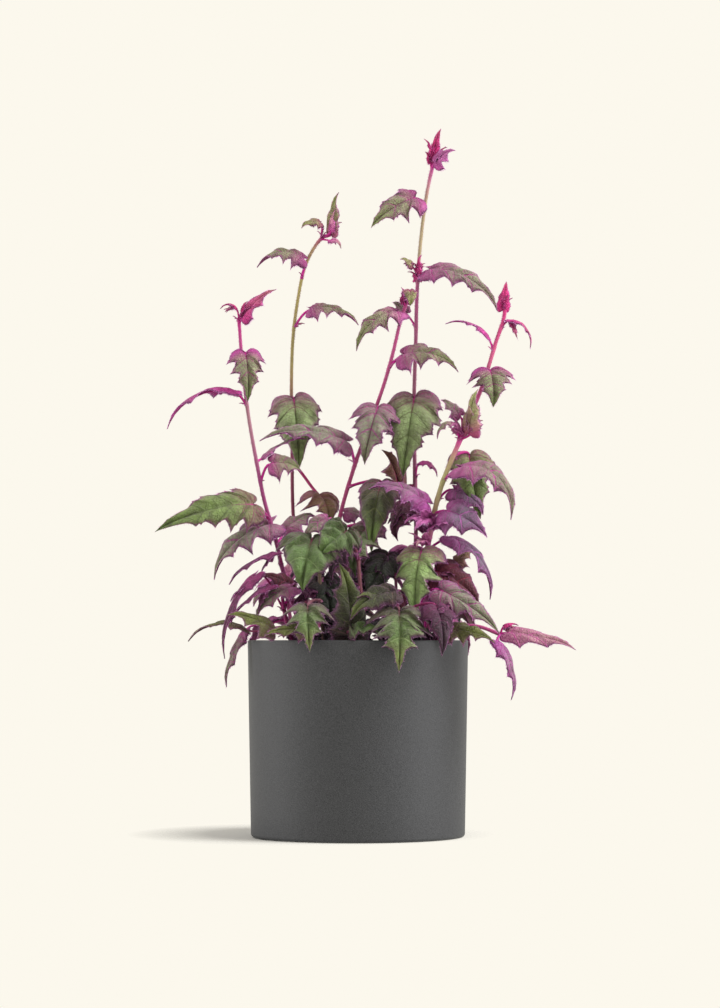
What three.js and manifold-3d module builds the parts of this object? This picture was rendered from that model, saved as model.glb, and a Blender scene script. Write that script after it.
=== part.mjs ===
// A potted purple passion plant (Gynura): a plain grey planter, its potting mix, five tall leafy
// stems and a ring of low shoots. Millimetres, +Z up, the origin under the middle of the pot's
// flat base, and +Y towards the back of the plant.
import * as THREE from "three";
import { mergeVertices } from "three/addons/utils/BufferGeometryUtils.js";
import Module from "manifold-3d";

const wasm = await Module();
wasm.setup();

// The planter
const RIM_DIAMETER = 160;
const BASE_DIAMETER = 155;
const POT_HEIGHT = 142;
const POT_WALL = 4;
const POT_FLOOR = 6;
const FOOT_ROUND = 2.5;
const RIM_ROUND = 1.2;
const POT_SIDES = 36;

// The potting mix
const FIT_GAP = 0.3;
const SOIL_TOP = 130;
const SOIL_SIDES = 20;
const HOLE_CLEARANCE = 0.9;
const HOLE_SIDES = 6;

// The stems and petioles
const ROOT_END = 104;
const STRAIGHT_DEPTH = 8;
const STRAIGHT_RISE = 3;
const STEM_SIDES = 5;
const STEM_STEP = 34;
const STEM_LEAST_STEPS = 5;
const PETIOLE_STEPS = 2;
const PETIOLE_SWING = 0.35;
const PETIOLE_LIFT = 0.1;
const PETIOLE_FLATNESS = 0.8;
const [RIB_LEAST, RIB_MOST] = [0.65, 1.2];

// The blades
const BLADE_THICKNESS = 0.8;
const LOBE_BACK = 0.09;
const LOBE_WIDTH = 0.6;
const LOBE_END = 0.035;
const LOBE_FULL = 0.84;
const FIRST_TOOTH = 0.45;
const TOOTHED_SHARE = 0.72;
const NOTCH_BEYOND = 0.36;
const NOTCH_DEPTH = 0.68;
const CUPPING = 0.34;
const MARGIN_WAVE = 0.05;

const UP = new THREE.Vector3(0, 0, 1);
const DEPTH = new THREE.Vector3(0, 1, 0);

// Each shoot has its stem's thickness at the soil and at the tip, its root's place in the soil, the
// places that the stem runs through above it, and its leaves. A leaf has the height at which its
// petiole leaves the stem, the petiole's reach, the blade from petiole to tip, the blade's full
// width, its roll about that line in degrees, its bow as a share of its length, and how many points
// it has on each side: the rounded lobe by the petiole, then teeth.
const SHOOTS = {
  stem_left: {
    thickness: [3.4, 1.8],
    root: [-36, -14],
    stem: [[-46, -20, 165], [-54, -25, 192], [-59, -26, 214],
      [-67, -26, 241], [-73, -25, 270], [-79, -24, 304], [-83, -24, 336], [-86, -24, 374]],
    leaves: [
      [371, [3, -2, 4], [24, -6, 19], 17, 60, 0.2, 3],
      [371, [-2, -1, 10], [-12, 3, 1], 6, 0, 0.5, 2],
      [371, [2, -2, 7], [4, -2, 8], 6, 60, 0.2, 2],
      [347, [3, -7, 1], [4, -5, -36], 28, 30, 0.35, 4],
      [311, [-10, 0, 10], [-50, 0, -25], 22, 0, 0.36, 3],
      [270, [5, 5, 4], [29, 12, 16], 11, 0, 0.15, 3],
      [256, [8, 1, 13], [22, 8, -5], 26, 50, 0.3, 3],
      [229, [-12, -6, 10], [-69, -18, -21], 36, -62, 0.3, 5],
      [212, [-4, 2, 13], [-43, 4, -40], 34, -45, 0.36, 4],
      [196, [-3, -8, 8], [-36, -5, -20], 12, -10, 0.15, 3],
      [210, [5, 16, 10], [24, 16, 13], 24, 20, 0.3, 3],
    ],
  },
  stem_second: {
    thickness: [3.0, 1.6],
    root: [-28, 16],
    stem: [[-40, 18, 180], [-47, 20, 226], [-48.5, 20, 289],
      [-49, 20, 318], [-48, 20, 362], [-45, 20, 388], [-39, 20, 417], [-31, 20, 433], [-24, 20, 441]],
    leaves: [
      [438, [7, -2, 3], [5, -2, 31], 11, 90, 0.1, 3],
      [438, [-1, -2, 11], [-14, -4, -4], 11, -30, 0.4, 3],
      [437, [8, -4, -1], [8, -4, -6], 9, 30, 0.4, 2],
      [438, [7, -6, 5], [2, -2, 15], 8, 90, 0.1, 2],
      [408, [1, -4, 14], [-35, 4, -3], 26, -30, 0.4, 4],
      [372, [13, -3, 13], [36, -2, -9], 24, 30, 0.25, 4],
      [315, [2, -12, 3], [5, -7, -52], 40, 32, 0.3, 4],
      [272, [20, -10, -24], [8, -12, -24], 38, 0, 0.3, 4],
      [188, [3, 9, 5], [12, 22, -6], 34, 0, 0.3, 3],
    ],
  },
  stem_middle: {
    thickness: [3.4, 1.8],
    root: [-20, -6],
    stem: [[-19, -6, 180], [-14.5, -5, 225], [-3.6, -5, 265],
      [1.5, -5, 280], [18, -5, 325], [25, -5, 349], [31, -5, 374], [36, -5, 389]],
    leaves: [
      [376, [-3, -3, 4], [-30, -8, -29], 26, -35, 0.45, 4],
      [388, [2, -5, 8], [1, -4, -12], 14, 0, 0.3, 3],
      [385, [-1, -2, 2], [-1, 0, 10], 7, 90, 0.1, 2],
      [340, [11, -3, 9], [41, -4, -10], 32, 45, 0.35, 4],
      [309, [2, -9, 1], [-9, -9, -42], 37, -35, 0.3, 4],
      [270, [-7, -3, 16], [-63, -6, 4], 30, -42, 0.24, 4],
      [253, [24, -11, 2], [-10, -16, -50], 34, -25, 0.3, 4],
      [222, [22, -15, 2], [-12, -14, -37], 36, -10, 0.3, 4],
      [230, [4, 6, 4], [22, 10, -8], 24, 30, 0.3, 3],
      [164, [-1, 10, 5], [2, 27, -14], 28, 0, 0.3, 3],
    ],
  },
  stem_tallest: {
    thickness: [3.4, 1.8],
    root: [35, 8],
    stem: [[40, 6, 175], [42.3, 5, 222], [41.5, 5, 266], [41, 5, 317],
      [42.3, 5, 361], [43, 5, 390], [44.5, 5, 417.5], [48, 5, 452], [52, 5, 477], [55, 5, 490]],
    leaves: [
      [488, [0, -1, 4], [5, -2, 25], 11, 90, 0.1, 3],
      [488, [2, -5, 3], [14, -6, 9], 18, 60, 0.2, 3],
      [486, [-1, -1, 6], [-3, 0, 8], 6, -60, 0.2, 2],
      [458, [-7, -4, 7], [-32, -6, -23], 32, -60, 0.3, 4],
      [407, [9, -5, 5], [51, -6, -29], 28, 40, 0.36, 4],
      [407, [0, -5, 3], [2, -2, 11], 8, 90, 0.1, 2],
      [408, [-4, -5, 7], [-9, -2, 5], 8, -50, 0.3, 2],
      [370, [-7, 3, 11], [-10, 2, 9], 14, -60, 0.2, 3],
      [317, [0, -11, 1], [-5, -11, -59], 46, -15, 0.25, 5],
      [255, [-12, 5, -3], [-11, 6, 30], 34, 60, 0.2, 3],
      [259, [4, -5, 12], [13, -4, -10], 8, 30, 0.5, 3],
      [233, [-6, -5, 9], [-10, -5, -28], 30, -20, 0.3, 3],
      [204, [-4, 9, 5], [-12, 26, -16], 34, 0, 0.3, 3],
    ],
  },
  stem_right: {
    thickness: [4.6, 1.8],
    root: [35, -31],
    stem: [[43, -34, 170], [49.4, -35, 206], [58.7, -35, 249],
      [73, -33, 285], [82, -28, 306.5], [90, -24, 326], [100, -20, 358], [105.6, -18, 375],
      [107, -17, 388]],
    leaves: [
      [379, [-1, 0, 2], [1, 0, 21], 11, 90, 0.1, 3],
      [351, [-4, 1, 10], [-30, 6, 12], 12, 0, 0.3, 3],
      [367, [7, 1, 6], [16, -2, -20], 10, 10, 0.45, 3],
      [332, [3, -5, 4], [4, -5, -27], 34, 30, 0.35, 4],
      [285, [7, -5, 5], [6, -2, 32], 16, 80, 0.15, 3],
      [288, [-1, -2, 15], [-14, 4, 12], 14, -50, 0.2, 3],
      [285, [-5, -5, 12], [-12, -4, -11], 10, -20, 0.5, 3],
      [256, [14, -5, 9], [38, -4, -36], 31, 32, 0.6, 3],
      [219, [-3, -3, 21], [-42, 8, 12], 26, -35, 0.3, 4],
      [274, [12, 16, 1], [5, -6, -47], 38, 90, 0.3, 4],
      [232, [9, -8, 2], [30, -9, -17], 34, 55, 0.25, 3],
      [242, [12, 7, 8], [22, 0, -18], 26, 45, 0.3, 3],
      [206, [18, 5, 8], [29, -6, -43], 24, 20, 0.38, 3],
      [205, [-4, -9, 0], [-7, -11, -50], 42, -15, 0.2, 4],
      [165, [17, -24, 12], [44, -8, -28], 28, 55, 0.15, 4],
    ],
  },
  shoot_front_left: {
    thickness: [3, 2],
    root: [-44, -26],
    stem: [[-50, -32, 150], [-54, -36, 172]],
    leaves: [
      [165, [6, -1, 13], [-24, -8, 11], 24, -50, 0.3, 3],
      [163, [-21, -12, 24], [-26, -12, -57], 16, -10, 0.2, 3],
      [162, [-9, -20, 18], [-30, -6, -24], 11, -10, 0.15, 3],
      [151, [-10, -32, -2], [-32, -6, 12], 22, -45, 0.2, 3],
      [151, [-31, 2, -1], [-42, 0, -7], 14, -10, 0.36, 3],
      [146, [-33, 13, 2], [-15, -4, -39], 13, -20, 0.1, 3],
      [166, [6, -14, 13], [-27, -6, -22], 22, -30, 0.3, 3],
    ],
  },
  shoot_front: {
    thickness: [3.2, 2],
    root: [-24, -40],
    stem: [[-26, -44, 165], [-28, -44, 200]],
    leaves: [
      [170, [-9, -30, -5], [0, -14, -31], 36, 0, 0.35, 4],
      [156, [-10, -33, -7], [-31, 0, -3], 18, -50, 0.2, 3],
      [192, [-5, -14, 21], [-9, -12, -36], 50, -30, 0.3, 4],
      [199, [6, 10, 30], [-18, -4, -16], 22, -40, 0.3, 3],
      [184, [3, 8, 3], [3, -4, -36], 36, 10, 0.3, 3],
      [160, [-3, 8, 4], [-16, -5, -20], 28, -20, 0.3, 3],
    ],
  },
  shoot_centre: {
    thickness: [3.4, 2],
    root: [4, -40],
    stem: [[3, -46, 160], [0, -46, 202]],
    leaves: [
      [199, [-8, -14, 20], [-19, -8, -17], 38, -50, 0.25, 4],
      [134, [-8, -22, 10], [-6, 4, 54], 36, -30, 0.1, 4],
      [163, [22, -26, 13], [-31, -6, -19], 28, -40, 0.3, 3],
      [140, [-8, -30, 9], [19, -4, -2], 24, 20, 0.2, 3],
      [178, [-8, 6, 32], [-14, -4, -25], 28, -30, 0.3, 3],
      [188, [1, 28, 5], [2, 0, -36], 36, 10, 0.2, 3],
      [170, [-4, 9, 4], [-12, -4, -30], 34, -10, 0.3, 3],
    ],
  },
  shoot_front_right: {
    thickness: [3, 2],
    root: [20, -52],
    stem: [[26, -54, 150], [29, -52, 178]],
    leaves: [
      [163, [1, -22, -1], [1, -18, -42], 46, 0, 0.3, 5],
      [165, [-6, 24, 38], [-15, -8, -34], 36, -45, 0.3, 4],
      [160, [28, -20, 5], [4, -12, -34], 28, 0, 0.3, 3],
      [172, [-2, 16, 3], [0, -1, -32], 24, 0, 0.1, 3],
    ],
  },
  shoot_right: {
    thickness: [3, 2],
    root: [56, -8],
    stem: [[60, -14, 160], [62, -18, 192]],
    leaves: [
      [185, [-6, -22, 6], [33, 0, -23], 38, 60, 0.3, 4],
      [189, [9, -2, 8], [14, 4, 10], 16, 40, 0.3, 3],
      [152, [6, -43, -3], [33, -4, -8], 26, 45, 0.2, 4],
      [172, [-7, 5, 4], [-16, 12, -22], 32, 0, 0.3, 3],
      [164, [8, 6, 4], [16, 22, -20], 30, 0, 0.3, 3],
      [174, [-3, -9, 4], [3, 0, -30], 28, 10, 0.2, 3],
    ],
  },
  shoot_sprawling: {
    thickness: [3.2, 1.8],
    root: [52, -32],
    stem: [[66, -38, 150], [84, -42, 152], [104, -44, 145]],
    leaves: [
      [146, [5, -1, 1], [49, -4, -10], 20, 45, 0.1, 3],
      [146, [-2, -7, -6], [12, -4, -40], 18, 10, 0.2, 3],
      [146, [3, 0, 6], [10, 2, 1], 8, 20, 0.2, 2],
    ],
  },
  shoot_back_left: {
    thickness: [3.2, 2],
    root: [-42, 36],
    stem: [[-50, 46, 158], [-54, 52, 184]],
    leaves: [
      [184, [1, 1, 3], [3, 4, 16], 12, 40, 0.15, 3],
      [180, [-4, 6, 6], [-16, 32, -20], 36, 0, 0.3, 3],
      [174, [-5, -3, 6], [-20, -14, -12], 28, 0, 0.3, 3],
      [166, [7, 6, 5], [9, 24, -18], 30, 0, 0.3, 3],
      [152, [-9, 7, 5], [-26, 22, -26], 36, 0, 0.3, 3],
      [146, [3, 12, 10], [8, 32, -20], 30, 0, 0.3, 3],
    ],
  },
  shoot_back: {
    thickness: [3.4, 2],
    root: [2, 44],
    stem: [[2, 52, 162], [-2, 56, 206]],
    leaves: [
      [206, [0, 1, 3], [-2, 4, 18], 12, 40, 0.15, 3],
      [200, [-1, 6, 5], [-6, 32, -26], 38, 0, 0.3, 3],
      [192, [8, 0, 5], [28, 4, -18], 32, 0, 0.3, 3],
      [182, [-8, 2, 5], [-28, 8, -16], 32, 0, 0.3, 3],
      [172, [6, 8, 4], [16, 34, -24], 40, 0, 0.3, 3],
      [158, [-4, 9, 6], [-6, 36, -26], 36, 0, 0.3, 3],
      [150, [7, -4, 4], [24, -12, -8], 30, 0, 0.3, 3],
    ],
  },
  shoot_back_right: {
    thickness: [3.2, 2],
    root: [46, 36],
    stem: [[54, 42, 158], [60, 46, 188]],
    leaves: [
      [188, [1, 1, 3], [4, 3, 16], 12, 40, 0.15, 3],
      [182, [6, 3, 5], [22, 20, -22], 36, 0, 0.3, 3],
      [174, [-2, 8, 4], [-6, 34, -22], 36, 0, 0.3, 3],
      [166, [5, -6, 5], [14, -18, -16], 28, 0, 0.3, 3],
      [152, [9, 8, 6], [24, 24, -26], 36, 0, 0.3, 3],
      [146, [0, 12, 10], [0, 32, -20], 30, 0, 0.3, 3],
    ],
  },
};

// A closed solid from rings of points, each ring joined to the next and both ends capped.
function loft(rings) {
  const sides = rings[0].length;
  const positions = rings.flat().flatMap((p) => p.toArray());
  const index = [];
  for (let r = 0; r + 1 < rings.length; r++) {
    for (let s = 0; s < sides; s++) {
      const a = r * sides + s;
      const b = r * sides + ((s + 1) % sides);
      index.push(a, b, b + sides, a, b + sides, a + sides);
    }
  }
  const last = (rings.length - 1) * sides;
  for (let s = 1; s + 1 < sides; s++) {
    index.push(0, s + 1, s);
    index.push(last, last + s, last + s + 1);
  }
  return new THREE.BufferGeometry()
    .setAttribute("position", new THREE.Float32BufferAttribute(positions, 3))
    .setIndex(index);
}

// The line of a stem: straight up out of the soil, then through its places.
function stemCurve({ root, stem }) {
  const heights = [ROOT_END, SOIL_TOP - STRAIGHT_DEPTH, SOIL_TOP + STRAIGHT_RISE];
  const buried = heights.map((z) => [...root, z]);
  const places = buried.concat(stem).map((p) => new THREE.Vector3(...p));
  return new THREE.CatmullRomCurve3(places, false, "centripetal");
}

// A round stem that tapers: one long ring to ring stretch in the soil, even ones above it.
function stemGeometry(curve, [rootThickness, tipThickness]) {
  const length = curve.getLength();
  const straight = (SOIL_TOP + STRAIGHT_RISE - ROOT_END) / length;
  const steps = Math.max(STEM_LEAST_STEPS, Math.ceil(length / STEM_STEP));
  const rings = [];
  for (let i = 0; i <= steps; i++) {
    const part = i ? straight + ((1 - straight) * (i - 1)) / (steps - 1) : 0;
    const centre = curve.getPointAt(part);
    const tangent = curve.getTangentAt(part);
    const side = DEPTH.clone().cross(tangent).normalize();
    const other = tangent.clone().cross(side);
    const radius = (rootThickness + (tipThickness - rootThickness) * part) / 2;
    rings.push(
      Array.from({ length: STEM_SIDES }, (_, s) => {
        const angle = (2 * Math.PI * s) / STEM_SIDES;
        return centre
          .clone()
          .addScaledVector(side, radius * Math.cos(angle))
          .addScaledVector(other, radius * Math.sin(angle));
      }),
    );
  }
  return loft(rings);
}

function solidOf(geometry) {
  const bare = geometry.clone();
  bare.deleteAttribute("normal");
  bare.deleteAttribute("uv");
  const merged = mergeVertices(bare, 1e-4);
  return new wasm.Manifold(
    new wasm.Mesh({
      numProp: 3,
      vertProperties: merged.attributes.position.array,
      triVerts: new Uint32Array(merged.index.array),
    }),
  );
}

function geometryOf(solid) {
  const mesh = solid.getMesh();
  return new THREE.BufferGeometry()
    .setAttribute("position", new THREE.BufferAttribute(mesh.vertProperties, 3))
    .setIndex(new THREE.BufferAttribute(mesh.triVerts, 1));
}

// The midrib's rise over the straight line from petiole to tip: highest before the middle.
const arch = (u) => u * (1 - u) * (2.3 - u);
const archSlope = (u) => (1 - 2 * u) * (2.3 - u) - u * (1 - u);

// Half the blade's width at the tooth tips, as a share of the widest: an egg shape, drawn out to
// a long tip.
const halfWidth = (u) => 1.03 * Math.pow(1 - u, 1.3) * (1 + 1.4 * u);

// Where the places of a blade lie: u runs along the midrib, q across it, and lift off its face.
function bladeShape([, , blade, width, roll, bow], joint) {
  const reach = new THREE.Vector3(...blade);
  const length = reach.length();
  const along = reach.clone().normalize();
  const face = UP.clone().addScaledVector(along, -UP.dot(along)).normalize();
  face.applyAxisAngle(along, THREE.MathUtils.degToRad(roll));
  const across = along.clone().cross(face);
  const tangentAt = (u) =>
    along.clone().addScaledVector(face, bow * archSlope(u)).normalize();
  const normalAt = (u) => across.clone().cross(tangentAt(u)).normalize();
  const place = (u, q, lift) =>
    joint
      .clone()
      .addScaledVector(along, length * u)
      .addScaledVector(face, bow * length * arch(u))
      .addScaledVector(across, (q * width) / 2)
      .addScaledVector(normalAt(u), lift - (CUPPING * q * q * width) / 2);
  return { place, across, start: tangentAt(0) };
}

// The furthest place along the stem that lies at this height.
function stemPlace(curve, height) {
  const places = curve.getPoints(200);
  for (let i = places.length - 1; i > 0; i--) {
    const [low, high] = [places[i - 1], places[i]];
    const part = (height - low.z) / (high.z - low.z);
    if (part >= 0 && part <= 1.001) return low.clone().lerp(high, part);
  }
  throw new Error("no stem at height " + height);
}

// The rings of a petiole with four corners, from the stem's core to just before the joint.
function petioleRings(root, joint, shape, rib) {
  const reach = joint.clone().sub(root);
  const path = new THREE.CubicBezierCurve3(
    root,
    root
      .clone()
      .addScaledVector(reach, PETIOLE_SWING)
      .addScaledVector(UP, PETIOLE_LIFT * reach.length()),
    joint.clone().addScaledVector(shape.start, -PETIOLE_SWING * reach.length()),
    joint,
  );
  const rings = [];
  for (let i = 0; i < PETIOLE_STEPS; i++) {
    const centre = path.getPoint(i / PETIOLE_STEPS);
    const tangent = path.getTangent(i / PETIOLE_STEPS);
    const side = shape.across.clone().addScaledVector(tangent, -shape.across.dot(tangent));
    side.setLength(rib);
    const top = side.clone().cross(tangent).setLength(PETIOLE_FLATNESS * rib);
    rings.push([
      centre.clone().add(side).add(top),
      centre.clone().add(side).sub(top),
      centre.clone().sub(side).sub(top),
      centre.clone().sub(side).add(top),
    ]);
  }
  return rings;
}

// A leaf as one closed solid: the petiole, and a toothed blade that starts at its last ring. On
// each side of the midrib the blade is a strip out to the notches with a tooth beyond each
// stretch of it. Both faces are split alike, with a wall along the margin.
function leafSolid(leaf, curve) {
  const [height, reach, , width, , , teeth] = leaf;
  const root = stemPlace(curve, height);
  const joint = root.clone().add(new THREE.Vector3(...reach));
  const shape = bladeShape(leaf, joint);
  const rib = THREE.MathUtils.clamp(0.55 + width / 60, RIB_LEAST, RIB_MOST);

  const outline = [];
  const add = (u, q, wave) => outline.push([u, q, wave * MARGIN_WAVE * width]) - 1;
  const triangles = [];
  const margins = [];
  const corners = [add(0, (2 * rib) / width, 0), add(0, (-2 * rib) / width, 0)];
  const tips = [[-LOBE_BACK, LOBE_WIDTH]];
  const notches = [[LOBE_END, LOBE_FULL]];
  for (let j = 1; j < teeth; j++) {
    const spacing = TOOTHED_SHARE / (teeth - 1);
    const tip = spacing * (j - FIRST_TOOTH);
    const notch = tip + spacing * NOTCH_BEYOND;
    tips.push([tip, halfWidth(tip)]);
    notches.push([notch, NOTCH_DEPTH * halfWidth(notch)]);
  }
  const midribs = notches.map(([u]) => add(u, 0, 0));
  const end = add(1, 0, 0);
  for (const side of [1, -1]) {
    const turned = (a, b, c) => triangles.push(side > 0 ? [a, b, c] : [a, c, b]);
    const base = corners[side > 0 ? 0 : 1];
    const inner = notches.map(([u, q]) => add(u, side * q, 0));
    const outer = tips.map(([u, q], j) => add(u, side * q, (j % 2 ? 1 : -1) * q));
    const margin = [base, outer[0], inner[0]];
    turned(base, inner[0], midribs[0]);
    turned(base, outer[0], inner[0]);
    for (let j = 1; j < teeth; j++) {
      turned(midribs[j - 1], inner[j - 1], inner[j]);
      turned(midribs[j - 1], inner[j], midribs[j]);
      turned(inner[j - 1], outer[j], inner[j]);
      margin.push(outer[j], inner[j]);
    }
    turned(midribs[teeth - 1], inner[teeth - 1], end);
    margin.push(end);
    margins.push(side > 0 ? margin : margin.reverse());
  }
  triangles.push([corners[0], midribs[0], corners[1]]);

  const count = outline.length;
  const half = BLADE_THICKNESS / 2;
  const index = [];
  for (const [a, b, c] of triangles) {
    index.push(a, b, c, a + count, c + count, b + count);
  }
  for (const margin of margins) {
    for (let i = 0; i + 1 < margin.length; i++) {
      const [a, b] = [margin[i], margin[i + 1]];
      index.push(b, a, a + count, b, a + count, b + count);
    }
  }
  const rings = petioleRings(root, joint, shape, rib);
  const stalk = (ring, corner) => 2 * count + 4 * ring + corner;
  const mouth = [corners[0], corners[0] + count, corners[1] + count, corners[1]];
  for (let r = 0; r < rings.length; r++) {
    for (let s = 0; s < 4; s++) {
      const t = (s + 1) % 4;
      const inside = r + 1 < rings.length;
      const [c, d] = inside ? [stalk(r + 1, s), stalk(r + 1, t)] : [mouth[s], mouth[t]];
      index.push(stalk(r, s), stalk(r, t), d, stalk(r, s), d, c);
    }
  }
  index.push(stalk(0, 0), stalk(0, 2), stalk(0, 1), stalk(0, 0), stalk(0, 3), stalk(0, 2));

  const points = [half, -half].flatMap((lift) =>
    outline.map(([u, q, wave]) => shape.place(u, q, lift + wave)),
  );
  const positions = points.concat(rings.flat()).flatMap((p) => p.toArray());
  const geometry = new THREE.BufferGeometry()
    .setAttribute("position", new THREE.Float32BufferAttribute(positions, 3))
    .setIndex(index);
  return solidOf(geometry);
}

function shootSolid(shoot) {
  const curve = stemCurve(shoot);
  let solid = solidOf(stemGeometry(curve, shoot.thickness));
  for (const leaf of shoot.leaves) solid = solid.add(leafSolid(leaf, curve));
  return solid;
}

// The planter: a straight-sided cup, a little narrower at the foot, with a flat base.
function potGeometry() {
  const rim = RIM_DIAMETER / 2;
  const foot = BASE_DIAMETER / 2;
  const profile = [
    [0, 0],
    [foot - FOOT_ROUND, 0],
    [foot - 0.3 * FOOT_ROUND, 0.3 * FOOT_ROUND],
    [foot, FOOT_ROUND],
    [rim, POT_HEIGHT - RIM_ROUND],
    [rim - RIM_ROUND, POT_HEIGHT],
    [rim - POT_WALL + RIM_ROUND, POT_HEIGHT],
    [rim - POT_WALL, POT_HEIGHT - RIM_ROUND],
    [foot - POT_WALL, POT_FLOOR],
    [0, POT_FLOOR],
  ];
  const points = profile.map(([r, z]) => new THREE.Vector2(r, z));
  return new THREE.LatheGeometry(points, POT_SIDES).rotateX(Math.PI / 2);
}

// The potting mix: a plug that fills the pot, with a plain hole for the buried end of each stem.
function soilGeometry() {
  const slope = (RIM_DIAMETER - BASE_DIAMETER) / 2 / POT_HEIGHT;
  const wallAt = (z) => BASE_DIAMETER / 2 - POT_WALL + slope * z - 2 * FIT_GAP;
  const bottom = POT_FLOOR + FIT_GAP;
  const profile = [
    [0, bottom],
    [wallAt(bottom), bottom],
    [wallAt(SOIL_TOP), SOIL_TOP],
    [0, SOIL_TOP],
  ].map(([r, z]) => new THREE.Vector2(r, z));
  let plug = solidOf(new THREE.LatheGeometry(profile, SOIL_SIDES).rotateX(Math.PI / 2));
  for (const { root, thickness } of Object.values(SHOOTS)) {
    const [x, y] = root;
    const radius = thickness[0] / 2 + HOLE_CLEARANCE;
    const depth = SOIL_TOP - ROOT_END + 2 * FIT_GAP;
    const hole = new THREE.CylinderGeometry(radius, radius, depth, HOLE_SIDES)
      .rotateX(Math.PI / 2)
      .translate(x, y, ROOT_END - FIT_GAP + depth / 2);
    plug = plug.subtract(solidOf(hole));
  }
  return geometryOf(plug);
}

const FINISHES = {
  pot: new THREE.MeshStandardMaterial({ color: 0x5c5c5c, roughness: 0.75, metalness: 0 }),
  soil: new THREE.MeshStandardMaterial({ color: 0x2c2019, roughness: 1, metalness: 0 }),
  foliage: new THREE.MeshStandardMaterial({ color: 0x6d6a58, roughness: 0.8, metalness: 0 }),
};

function piece(name, geometry, finish) {
  const mesh = new THREE.Mesh(geometry, finish);
  mesh.name = name;
  return mesh;
}

const plant = new THREE.Group();
plant.add(piece("pot", potGeometry(), FINISHES.pot));
plant.add(piece("soil", soilGeometry(), FINISHES.soil));
for (const [name, shoot] of Object.entries(SHOOTS)) {
  plant.add(piece(name, geometryOf(shootSolid(shoot)), FINISHES.foliage));
}

export default plant;
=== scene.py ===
import math
import random
from collections import namedtuple

import bmesh
import bpy
from mathutils import Matrix, Vector, noise


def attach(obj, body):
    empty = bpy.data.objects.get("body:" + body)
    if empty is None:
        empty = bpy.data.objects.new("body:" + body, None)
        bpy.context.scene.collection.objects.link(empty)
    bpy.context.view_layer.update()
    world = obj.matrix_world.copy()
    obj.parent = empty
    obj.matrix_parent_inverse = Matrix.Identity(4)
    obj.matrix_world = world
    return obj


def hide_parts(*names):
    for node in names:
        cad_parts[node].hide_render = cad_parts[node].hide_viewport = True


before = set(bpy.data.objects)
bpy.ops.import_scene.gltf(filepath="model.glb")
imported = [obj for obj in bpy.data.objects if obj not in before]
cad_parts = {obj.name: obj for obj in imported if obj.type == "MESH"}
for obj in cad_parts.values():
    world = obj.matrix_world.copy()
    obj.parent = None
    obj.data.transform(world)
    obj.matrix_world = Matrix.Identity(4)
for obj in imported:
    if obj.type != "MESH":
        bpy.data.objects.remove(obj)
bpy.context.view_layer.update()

# The studio
# The plant stands on a pale floor that runs out into a cream backdrop. The camera is level with
# the pot's rim and tips up a little. A wide soft lamp hangs high on the right with a small one
# below it, and a weaker wide one stands on the left.
CREAM = (0.973, 0.939, 0.847)
EYE = Vector((0.0, -2.2, 0.142))
AIM = Vector((0.0015, 0.0, 0.241))
PLANT_MIDDLE = Vector((0.0, 0.0, 0.24))


def aimed(obj, place, target):
    obj.location = place
    obj.rotation_euler = (target - place).to_track_quat("-Z", "Y").to_euler()
    bpy.context.scene.collection.objects.link(obj)
    return obj


camera_data = bpy.data.cameras.new("camera")
camera_data.sensor_width = 36.0
camera_data.lens = 108.07
bpy.context.scene.camera = aimed(bpy.data.objects.new("camera", camera_data), EYE, AIM)
bpy.context.scene.view_settings.view_transform = "Standard"

backdrop = bpy.data.worlds.new("backdrop")
backdrop.use_nodes = True
backdrop.node_tree.nodes["Background"].inputs["Color"].default_value = (*CREAM, 1.0)
backdrop.node_tree.nodes["Background"].inputs["Strength"].default_value = 1.0
bpy.context.scene.world = backdrop

LAMPS = {
    "lamp_right": {"place": (1.15, -0.42, 1.6), "size": 0.8, "watts": 42.0},
    "lamp_left": {"place": (-1.5, -0.1, 0.6), "size": 1.0, "watts": 20.0},
    "lamp_low": {"place": (1.4, -0.5, 0.35), "size": 0.6, "watts": 12.0},
}
for name, lamp in LAMPS.items():
    lamp_data = bpy.data.lights.new(name, "AREA")
    lamp_data.size = lamp["size"]
    lamp_data.energy = lamp["watts"]
    aimed(bpy.data.objects.new(name, lamp_data), Vector(lamp["place"]), PLANT_MIDDLE)


class Value:
    """An output socket, so that shader maths reads as arithmetic."""

    def __init__(self, tree, socket):
        self.tree = tree
        self.socket = socket

    def math(self, operation, *others):
        node = self.tree.nodes.new("ShaderNodeMath")
        node.operation = operation
        for slot, item in zip(node.inputs, (self, *others)):
            if isinstance(item, Value):
                self.tree.links.new(item.socket, slot)
            else:
                slot.default_value = item
        return Value(self.tree, node.outputs[0])

    def __add__(self, other):
        return self.math("ADD", other)

    def __sub__(self, other):
        return self.math("SUBTRACT", other)

    def __rsub__(self, other):
        return (self * -1.0).math("ADD", other)

    def __mul__(self, other):
        return self.math("MULTIPLY", other)

    def __truediv__(self, other):
        return self.math("DIVIDE", other)

    __radd__ = __add__
    __rmul__ = __mul__

    def size(self):
        return self.math("ABSOLUTE")

    def within(self):
        """Held between 0 and 1."""
        return self.math("MAXIMUM", 0.0).math("MINIMUM", 1.0)


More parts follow.
